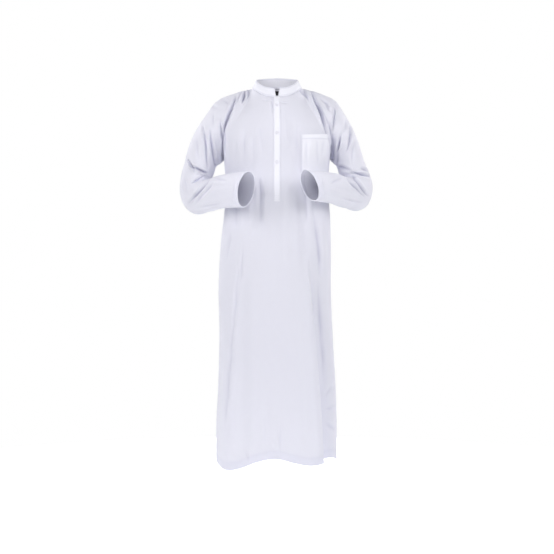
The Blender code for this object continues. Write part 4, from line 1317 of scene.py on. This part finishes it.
@lru_cache(maxsize=None)
def pearl_material(colour):
    """Polished button white with a faint cloudy figure."""
    made, nodes, links, shader = new_material("thobe_button_white")
    cloud = object_noise(nodes, links, 260.0, Detail=3.0, Distortion=1.2)
    tone = nodes.new("ShaderNodeValToRGB")
    tone.color_ramp.elements[0].color = (*(0.86 * part for part in colour), 1.0)
    tone.color_ramp.elements[1].color = (*colour, 1.0)
    tone.color_ramp.elements[0].position = 0.35
    tone.color_ramp.elements[1].position = 0.70
    links.new(cloud, tone.inputs["Fac"])
    links.new(tone.outputs["Color"], shader.inputs["Base Color"])
    shader.inputs["Roughness"].default_value = 0.22
    shader.inputs["Coat Weight"].default_value = 0.3
    shader.inputs["Coat Roughness"].default_value = 0.15
    return made


@lru_cache(maxsize=None)
def thread_material(colour):
    """Twisted sewing thread."""
    made, nodes, links, shader = new_material("thobe_thread")
    twist = object_noise(nodes, links, 2200.0)
    bump = bumped(nodes, links, twist, 0.3, 0.0001)
    links.new(bump.outputs[0], shader.inputs["Normal"])
    links.new(toned(nodes, links, twist, colour, 0.88), shader.inputs["Base Color"])
    shader.inputs["Roughness"].default_value = 0.5
    shader.inputs["Sheen Weight"].default_value = 0.2
    return made


def stitch_tree():
    """Geometry Nodes: one small rounded stitch at each step along the lines of a mesh."""
    tree = bpy.data.node_groups.get("Stitch rows")
    if tree:
        return tree
    tree = bpy.data.node_groups.new("Stitch rows", "GeometryNodeTree")
    face = tree.interface
    face.new_socket("Geometry", in_out="INPUT", socket_type="NodeSocketGeometry")
    for name, low in (("Spacing", 0.003), ("Length", 0.0023), ("Radius", 0.0003)):
        socket = face.new_socket(name, in_out="INPUT", socket_type="NodeSocketFloat")
        socket.default_value = low
        socket.subtype = "DISTANCE"
    seed = face.new_socket("Seed", in_out="INPUT", socket_type="NodeSocketInt")
    seed.default_value = 7
    face.new_socket("Material", in_out="INPUT", socket_type="NodeSocketMaterial")
    face.new_socket("Geometry", in_out="OUTPUT", socket_type="NodeSocketGeometry")
    nodes, links = tree.nodes, tree.links
    start = nodes.new("NodeGroupInput")
    end = nodes.new("NodeGroupOutput")
    curve = nodes.new("GeometryNodeMeshToCurve")
    even = nodes.new("GeometryNodeResampleCurve")
    even.mode = "LENGTH"
    place = nodes.new("GeometryNodeInstanceOnPoints")
    shape = nodes.new("GeometryNodeMeshUVSphere")
    shape.inputs["Segments"].default_value = 6
    shape.inputs["Rings"].default_value = 4
    shape.inputs["Radius"].default_value = 1.0
    tangent = nodes.new("GeometryNodeInputTangent")
    turn = nodes.new("FunctionNodeAlignRotationToVector")
    turn.axis = "X"
    size = nodes.new("ShaderNodeCombineXYZ")
    vary = nodes.new("FunctionNodeRandomValue")
    vary.data_type = "FLOAT"
    vary.inputs[2].default_value = 0.85
    vary.inputs[3].default_value = 1.1
    half = math_node(nodes, links, "MULTIPLY", start.outputs["Length"], 0.5)
    scaled = math_node(nodes, links, "MULTIPLY", half, vary.outputs[1])
    real = nodes.new("GeometryNodeRealizeInstances")
    smooth = nodes.new("GeometryNodeSetShadeSmooth")
    paint = nodes.new("GeometryNodeSetMaterial")
    links.new(start.outputs["Geometry"], curve.inputs[0])
    links.new(curve.outputs[0], even.inputs["Curve"])
    links.new(start.outputs["Spacing"], even.inputs["Length"])
    links.new(even.outputs[0], place.inputs["Points"])
    links.new(shape.outputs["Mesh"], place.inputs["Instance"])
    links.new(tangent.outputs[0], turn.inputs["Vector"])
    links.new(turn.outputs[0], place.inputs["Rotation"])
    links.new(start.outputs["Seed"], vary.inputs["Seed"])
    links.new(scaled, size.inputs["X"])
    for side in "YZ":
        links.new(start.outputs["Radius"], size.inputs[side])
    links.new(size.outputs[0], place.inputs["Scale"])
    links.new(place.outputs[0], real.inputs[0])
    links.new(real.outputs[0], smooth.inputs[0])
    links.new(smooth.outputs[0], paint.inputs["Geometry"])
    links.new(start.outputs["Material"], paint.inputs["Material"])
    links.new(paint.outputs[0], end.inputs[0])
    return tree


def sew(name, lines, spacing=None, length=None):
    """Stitches along lines of points, as one plain mesh that rides with the garment."""
    trim = bpy.context.scene.thobe_trim
    points = [tuple(point) for line in lines for point in line]
    edges = []
    start = 0
    for line in lines:
        edges += [(start + i, start + i + 1) for i in range(len(line) - 1)]
        start += len(line)
    guide_mesh = bpy.data.meshes.new(name + "_guide")
    guide_mesh.from_pydata(points, edges, [])
    guide = bpy.data.objects.new(name + "_guide", guide_mesh)
    bpy.context.scene.collection.objects.link(guide)
    tree = stitch_tree()
    modifier = guide.modifiers.new("Stitches", "NODES")
    modifier.node_group = tree
    values = {
        "Spacing": spacing or trim.spacing,
        "Length": length or trim.stitch,
        "Radius": trim.thread,
        "Seed": len(name),
        "Material": thread_material(tuple(bpy.context.scene.thobe_cloth.white)),
    }
    for socket in tree.interface.items_tree:
        if socket.in_out == "INPUT" and socket.name in values:
            modifier[socket.identifier] = values[socket.name]
    graph = bpy.context.evaluated_depsgraph_get()
    mesh = bpy.data.meshes.new_from_object(guide.evaluated_get(graph))
    mesh.name = name
    bpy.data.objects.remove(guide)
    bpy.data.meshes.remove(guide_mesh)
    piece = bpy.data.objects.new(name, mesh)
    bpy.context.scene.collection.objects.link(piece)
    if not mesh.polygons:
        raise RuntimeError(f"{name}: the stitch tree made nothing")
    finished(piece, "white_cloth")
    return piece


def finished(piece, slot, *nodes):
    """Fixes a piece to the garment's body, with the nodes it stands for; its finish, slot, is not used."""
    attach(piece, BODY)
    if nodes:
        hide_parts(*nodes)


def hem_layers(rows, first, last, extra):
    """Extra thickness for the hemmed rows of a grid."""
    layer = np.zeros((rows, 1))
    layer[first:last] = extra
    return layer


class THOBE_OT_body(bpy.types.Operator):
    """Make the front and the back with their hems."""

    bl_idname = "thobe.body"
    bl_label = "Front and back"
    bl_options = {"REGISTER", "UNDO"}

    def execute(self, context):
        cloth = context.scene.thobe_cloth
        grids, faces, ways, shades = robe(cloth.folds)
        half = cloth.thickness / 2
        for name, node, at, cut in (
            ("front_cloth", "front_panel", 0, FRONT_CUT),
            ("back_cloth", "back_panel", 1, BACK_CUT),
        ):
            grid, way = grids[at], ways[at]
            hem = hem_layers(len(grid), 0, HEM_STITCH_ROW, cloth.hem - cloth.thickness)
            piece = add_cloth(name, grid, way, faces[at], half + hem, half, white_cloth(), shades[at])
            finished(piece, "white_cloth", node)
            line = grid[HEM_STITCH_ROW] + way[HEM_STITCH_ROW] * half
            stitches = sew(name + "_hem_stitches", [line])
        return {"FINISHED"}


class THOBE_OT_sleeves(bpy.types.Operator):
    """Make the two sleeves with their cuff hems."""

    bl_idname = "thobe.sleeves"
    bl_label = "Sleeves"
    bl_options = {"REGISTER", "UNDO"}

    def execute(self, context):
        cloth = context.scene.thobe_cloth
        grids, faces, ways, shades = robe(cloth.folds)
        half = cloth.thickness / 2
        for name, node, at in (
            ("left_sleeve_cloth", "sleeve_left", 2),
            ("right_sleeve_cloth", "sleeve_right", 3),
        ):
            grid, way = grids[at], ways[at]
            hem = hem_layers(len(grid), len(grid) - CUFF_HEM_RINGS, len(grid), cloth.hem - cloth.thickness)
            piece = add_cloth(
                name, grid, way, faces[at], half + hem, half, white_cloth(), shades[at], closed=True
            )
            finished(piece, "white_cloth", node)
            row = len(grid) - 1 - CUFF_HEM_RINGS
            line = grid[row] + way[row] * half
            stitches = sew(name + "_hem_stitches", [np.append(line, line[:1], axis=0)])
        return {"FINISHED"}


class THOBE_OT_collar(bpy.types.Operator):
    """Make the stand collar and the tab behind its gap."""

    bl_idname = "thobe.collar"
    bl_label = "Collar"
    bl_options = {"REGISTER", "UNDO"}

    def execute(self, context):
        cloth = context.scene.thobe_cloth
        grids, faces, ways, _ = robe(cloth.folds)
        grid, way = grids[4], ways[4]
        half = cloth.collar / 2
        # The pressed edges are thinner than the stiffened middle
        wall = np.full(grid.shape[:2], half)
        wall[-1] *= COLLAR_EDGE
        wall[:, [0, -1]] *= COLLAR_EDGE
        # Painted shade along the collar's two stitched lines
        shade = np.zeros(grid.shape[:2])
        shade[[1, -2]] = COLLAR_LINE_SHADE
        piece = add_cloth("collar_cloth", grid, way, faces[4], wall, wall, pressed_cloth(), shade)
        finished(piece, "white_cloth", "collar_band")
        face = grid + way * half
        lines = [face[1, 1:-1], face[-2, 1:-1], face[1:-1, 1], face[1:-1, -2]]
        stitches = sew("collar_stitches", lines)

        rows = slice(2, COLLAR_ROWS - 1)
        columns = [-3, -2, -1, 0, 1, 2]
        tab, tab_way = grid[rows][:, columns], way[rows][:, columns]
        near = half + TAB_GAP
        far = near + TAB_THICKNESS
        tab_faces = grid_faces(*tab.shape[:2])
        tab_piece = add_cloth("collar_tab_tape", tab, tab_way, tab_faces, far, -near, black_tape())
        finished(tab_piece, "black_cloth", "collar_tab")
        return {"FINISHED"}


class THOBE_OT_placket(bpy.types.Operator):
    """Make the strip over the front slit."""

    bl_idname = "thobe.placket"
    bl_label = "Placket"
    bl_options = {"REGISTER", "UNDO"}

    def execute(self, context):
        cloth = context.scene.thobe_cloth
        grids, _, ways, _ = robe(cloth.folds)
        reach = COLUMNS_STRIP + 1
        strip = (
            slice(PLACKET_FIRST_ROW, None),
            slice(FRONT_MIDDLE_COLUMN - reach, FRONT_MIDDLE_COLUMN + reach),
        )
        grid, way = grids[0][strip], ways[0][strip]
        low = cloth.thickness / 2 + STRIP_GAP
        high = low + cloth.hem
        outer = np.full(grid.shape[:2], high)
        outer[:, [0, -1]] -= STRIP_EDGE
        outer[0] -= STRIP_EDGE
        faces = grid_faces(*grid.shape[:2])
        piece = add_cloth("placket_cloth", grid, way, faces, -low, outer, pressed_cloth())
        finished(piece, "white_cloth", "placket_strip")
        # Stitches down both edges and round the box at the lower end, with a cross in the box
        top = grid + way * high
        above = grid + way * (high + CROSS_LIFT)
        end = WAIST_ROWS[0] + 1
        lines = [top[1:, 1], top[1:, -2], top[1, 1:-1], top[end, 1:-1]]
        lines += [[above[1, 1], above[end, -2]], [above[end, 1], above[1, -2]]]
        stitches = sew("placket_stitches", lines)
        return {"FINISHED"}


class THOBE_OT_pocket(bpy.types.Operator):
    """Make the patch pocket on the wearer's left breast."""

    bl_idname = "thobe.pocket"
    bl_label = "Pocket"
    bl_options = {"REGISTER", "UNDO"}

    def execute(self, context):
        cloth = context.scene.thobe_cloth
        grids, _, ways, _ = robe(cloth.folds)
        patch = (
            slice(POCKET_FIRST_ROW, POCKET_LAST_ROW + 1),
            slice(POCKET_FIRST_COLUMN, POCKET_LAST_COLUMN + 1),
        )
        grid, way = grids[0][patch], ways[0][patch]
        hem_row = POCKET_HEM_ROW - POCKET_FIRST_ROW
        low = cloth.thickness / 2 + POCKET_GAP
        up = np.linspace(0.0, 1.0, grid.shape[0])[:, None]
        over = np.linspace(0.0, 1.0, grid.shape[1])[None, :]
        # The pocket is sewn flat round three sides and stands a little open at its top
        bow = np.sin(math.pi * over)
        gape = POCKET_GAPE * smooth_step(up) * bow**0.7
        creases = cloth.folds * crease_heights(grid, way, POCKET_CREASES, -1) * bow**0.5
        lift = gape + np.maximum(creases + POCKET_EASE, -0.4 * gape)
        hem = hem_layers(len(grid), hem_row, len(grid), POCKET_HEM)
        outer = low + lift + cloth.thickness + POCKET_EXTRA + hem
        # Painted shade along the pocket's edges and its hem's line, and in the troughs of its creases
        shade = np.zeros(grid.shape[:2])
        shade[:, [0, -1]] = POCKET_LINE_SHADE
        shade[[0, hem_row]] = POCKET_LINE_SHADE
        shade += np.clip(-creases / POCKET_SHADE_DEPTH, 0.0, 1.0)
        faces = grid_faces(*grid.shape[:2])
        piece = add_cloth("pocket_cloth", grid, way, faces, -(low + lift), outer, pressed_cloth(), shade)
        finished(piece, "white_cloth", "chest_pocket")
        top = grid + way * outer[..., None]
        lines = [top[1:, 1], top[1:, -2], top[1, 1:-1], top[hem_row - 1, 1:-1]]
        stitches = sew("pocket_stitches", lines)
        return {"FINISHED"}


def circle(radius, sides, centre=(0.0, 0.0), turned=0.0):
    turns = [turned + 2 * math.pi * i / sides for i in range(sides)]
    return [(centre[0] + radius * math.cos(turn), centre[1] + radius * math.sin(turn)) for turn in turns]


def wall_faces(first, second, sides):
    """Faces between two rings of points, given the number of each ring's first point."""
    afters = [(i + 1) % sides for i in range(sides)]
    return [(first + i, first + after, second + after, second + i) for i, after in enumerate(afters)]


def button_mesh(radius, height):
    """Points and faces of a dished button with four holes, its back at zero and facing along Z."""
    sides = BUTTON_SIDES
    rings = [(across * radius, up * height) for across, up in BUTTON_OUTLINE]
    points = [(x, y, z) for r, z in rings for x, y in circle(r, sides)]
    faces = []
    for ring in range(len(rings) - 1):
        for i in range(sides):
            after = (i + 1) % sides
            a, b = ring * sides + i, ring * sides + after
            faces.append((a, a + sides, b + sides, b))
    place = HOLE_PLACE * radius
    centres = [(x, y) for x in (-place, place) for y in (-place, place)]
    holes = [circle(HOLE_RADIUS * radius, HOLE_SIDES, centre, 0.2) for centre in centres]
    starts = {}
    for level in (rings[0][1], rings[-1][1]):
        for number, hole in enumerate(holes):
            starts[level, number] = len(points)
            points += [(x, y, level) for x, y in hole]
    for level, first in ((rings[0][1], 0), (rings[-1][1], (len(rings) - 1) * sides)):
        flat = [circle(rings[0][0], sides)] + holes
        numbers = [first + i for i in range(sides)]
        for number in range(len(holes)):
            numbers += [starts[level, number] + i for i in range(HOLE_SIDES)]
        for triangle in tessellate_polygon([[Vector((*point, 0.0)) for point in loop] for loop in flat]):
            faces.append(tuple(numbers[corner] for corner in triangle))
    for number in range(len(holes)):
        faces += wall_faces(starts[rings[0][1], number], starts[rings[-1][1], number], HOLE_SIDES)
    return points, faces


def thread_bar(first, last, radius, arch, up):
    """Points and faces of a thread from one place to another, arched upwards and tapered into the holes."""
    steps, sides = 9, 8
    points, faces = [], []
    way = unit(last - first)
    across = np.cross(way, up)
    for step in range(steps):
        share = step / (steps - 1)
        centre = first + (last - first) * share + up * arch * (math.sin(math.pi * share) ** 0.5 - 0.35)
        size = radius * (0.25 + 0.75 * math.sin(math.pi * share) ** 0.35)
        for x, y in circle(size, sides):
            points.append(centre + across * x + up * y)
    for step in range(steps - 1):
        faces += wall_faces(step * sides, (step + 1) * sides, sides)
    faces.append(tuple(range(sides))[::-1])
    faces.append(tuple((steps - 1) * sides + i for i in range(sides)))
    return points, faces


def at_height(height, line, values):
    """The three values that go with the point of a line at a height."""
    return np.array([np.interp(height, line[:, 2], values[:, i]) for i in range(3)])


def outward(piece):
    """Turns every face of a closed piece outwards."""
    shape = bmesh.new()
    shape.from_mesh(piece.data)
    bmesh.ops.recalc_face_normals(shape, faces=shape.faces)
    shape.to_mesh(piece.data)
    shape.free()


class THOBE_OT_buttons(bpy.types.Operator):
    """Make the buttons, their thread and their buttonholes."""

    bl_idname = "thobe.buttons"
    bl_label = "Buttons"
    bl_options = {"REGISTER", "UNDO"}

    def execute(self, context):
        cloth, trim = context.scene.thobe_cloth, context.scene.thobe_trim
        grids, _, ways, _ = robe(cloth.folds)
        columns = slice(FRONT_MIDDLE_COLUMN - 1, FRONT_MIDDLE_COLUMN + 1)
        middle = grids[0][:, columns].mean(axis=1)
        outs = unit(ways[0][:, columns].mean(axis=1))
        plain, plain_faces = button_mesh(trim.button, trim.button_height)
        plain = np.array(plain)
        on_front = cloth.thickness / 2 + STRIP_GAP + cloth.hem
        holes = []
        for number, height in enumerate(BUTTON_HEIGHTS, start=1):
            name = f"button_{number}"
            place = at_height(height, middle, middle)
            way = unit(at_height(height, middle, outs))
            right = unit(np.cross((0.0, 0.0, 1.0), way))
            up = np.cross(way, right)
            base = place + way * (on_front + BUTTON_GAP)
            pearl = base + plain @ np.array([right, up, way])
            piece = add_mesh(name + "_pearl", pearl, plain_faces, pearl_material(tuple(trim.pearl)))
            outward(piece)
            piece.data.set_sharp_from_angle(angle=math.radians(45))
            finished(piece, "button_white", name)

            # Two bars of thread over the holes, and the shank under the button
            spot = HOLE_PLACE * trim.button
            level = BUTTON_OUTLINE[0][1] * trim.button_height
            points, faces = [], []
            for x in (-spot, spot):
                ends = [base + right * x + up * y + way * level for y in (-spot, spot)]
                bar, bar_faces = thread_bar(*ends, BAR_RADIUS * trim.button, BAR_ARCH, way)
                faces += [tuple(len(points) + corner for corner in face) for face in bar_faces]
                points += bar
            foot = base - way * BUTTON_GAP
            shank = [foot + right * x + up * y for x, y in circle(SHANK_RADIUS * trim.button, SHANK_SIDES)]
            low = len(points)
            high = low + SHANK_SIDES
            points += shank + [point + way * SHANK_HEIGHT for point in shank]
            faces += wall_faces(low, high, SHANK_SIDES)
            faces += [tuple(range(low, high))[::-1], tuple(range(high, high + SHANK_SIDES))]
            thread = add_mesh(name + "_thread", points, faces, thread_material(tuple(cloth.white)))
            outward(thread)
            finished(thread, "white_cloth")

            around = []
            for turn in np.linspace(0.0, 2 * math.pi, BUTTONHOLE_POINTS):
                x = BUTTONHOLE_HALVES[0] * math.cos(turn)
                y = BUTTONHOLE_HALVES[1] * math.copysign(abs(math.sin(turn)) ** 0.6, math.sin(turn))
                centre = at_height(place[2] + y * up[2], middle, middle)
                around.append(centre + way * on_front + right * x)
            holes.append(around)
        sew("buttonhole_stitches", holes, spacing=BUTTONHOLE_SPACING, length=BUTTONHOLE_STITCH)
        return {"FINISHED"}


class THOBE_OT_stage(bpy.types.Operator):
    """Make the floor, the lights, the room's light and the camera."""

    bl_idname = "thobe.stage"
    bl_label = "Stage"
    bl_options = {"REGISTER", "UNDO"}

    def execute(self, context):
        stage = context.scene.thobe_stage
        made, nodes, links, shader = new_material("stage_floor")
        grain = object_noise(nodes, links, 3.0)
        links.new(toned(nodes, links, grain, stage.pale, 0.985), shader.inputs["Base Color"])
        shader.inputs["Roughness"].default_value = 0.9
        shader.inputs["Emission Color"].default_value = (1.0, 1.0, 1.0, 1.0)
        seen = nodes.new("ShaderNodeLightPath")
        glow = nodes.new("ShaderNodeMapRange")
        glow.inputs["To Min"].default_value = FLOOR_GLOW
        glow.inputs["To Max"].default_value = 1.0
        links.new(seen.outputs["Is Camera Ray"], glow.inputs["Value"])
        links.new(glow.outputs["Result"], shader.inputs["Emission Strength"])
        rim = [(x, y, stage.floor) for x, y in circle(FLOOR_RADIUS, FLOOR_SIDES)]
        floor = add_mesh("stage_floor", rim, [tuple(range(FLOOR_SIDES))], made)

        world = bpy.data.worlds.new("stage_room")
        world.use_nodes = True
        nodes, links = world.node_tree.nodes, world.node_tree.links
        room = nodes["Background"]
        room.inputs["Color"].default_value = ROOM_COLOUR
        room.inputs["Strength"].default_value = stage.sky
        backdrop = nodes.new("ShaderNodeBackground")
        backdrop.inputs["Color"].default_value = (1.0, 1.0, 1.0, 1.0)
        seen = nodes.new("ShaderNodeLightPath")
        either = nodes.new("ShaderNodeMixShader")
        links.new(seen.outputs["Is Camera Ray"], either.inputs["Fac"])
        links.new(room.outputs[0], either.inputs[1])
        links.new(backdrop.outputs[0], either.inputs[2])
        links.new(either.outputs[0], nodes["World Output"].inputs["Surface"])
        context.scene.world = world

        powers = {"key": stage.key, "side": stage.side}
        for name, source, share, size, spot in LAMPS:
            lamp = bpy.data.lights.new(name, "AREA")
            lamp.energy = share * powers[source]
            lamp.size = size
            lamp.color = LAMP_COLOUR
            stand = bpy.data.objects.new(name, lamp)
            stand.location = spot
            aim = Vector(LAMP_AIM) - Vector(spot)
            stand.rotation_euler = aim.to_track_quat("-Z", "Y").to_euler()
            stand.visible_camera = False
            context.scene.collection.objects.link(stand)

        camera = bpy.data.cameras.new("camera")
        camera.sensor_width = 36.0
        camera.lens = CAMERA_LENS
        camera.clip_end = 100.0
        eye = bpy.data.objects.new("camera", camera)
        eye.location = (0.0, -VIEW_DISTANCE, VIEW_HEIGHT)
        eye.rotation_euler = (math.pi / 2, 0.0, 0.0)
        context.scene.collection.objects.link(eye)
        context.scene.camera = eye
        context.scene.view_settings.view_transform = "Standard"
        return {"FINISHED"}


class THOBE_PT_build(bpy.types.Panel):
    """The thobe's sizes, colours and pieces."""

    bl_idname = "THOBE_PT_build"
    bl_label = "Thobe"
    bl_space_type = "VIEW_3D"
    bl_region_type = "UI"
    bl_category = "Thobe"

    def draw(self, context):
        layout = self.layout
        for group in (context.scene.thobe_cloth, context.scene.thobe_trim, context.scene.thobe_stage):
            box = layout.box()
            for name in group.__annotations__:
                box.prop(group, name)
        for operator in OPERATORS:
            layout.operator(operator.bl_idname)


GROUPS = (ThobeCloth, ThobeTrim, ThobeStage)
OPERATORS = (
    THOBE_OT_body,
    THOBE_OT_sleeves,
    THOBE_OT_collar,
    THOBE_OT_placket,
    THOBE_OT_pocket,
    THOBE_OT_buttons,
    THOBE_OT_stage,
)


def register():
    for cls in (*GROUPS, *OPERATORS, THOBE_PT_build):
        bpy.utils.register_class(cls)
    bpy.types.Scene.thobe_cloth = bpy.props.PointerProperty(type=ThobeCloth)
    bpy.types.Scene.thobe_trim = bpy.props.PointerProperty(type=ThobeTrim)
    bpy.types.Scene.thobe_stage = bpy.props.PointerProperty(type=ThobeStage)


def unregister():
    del bpy.types.Scene.thobe_stage
    del bpy.types.Scene.thobe_trim
    del bpy.types.Scene.thobe_cloth
    for cls in reversed((*GROUPS, *OPERATORS, THOBE_PT_build)):
        bpy.utils.unregister_class(cls)


def main():
    register()
    bpy.ops.thobe.body()
    bpy.ops.thobe.sleeves()
    bpy.ops.thobe.collar()
    bpy.ops.thobe.placket()
    bpy.ops.thobe.pocket()
    bpy.ops.thobe.buttons()
    bpy.ops.thobe.stage()


if __name__ == "__main__":
    main()
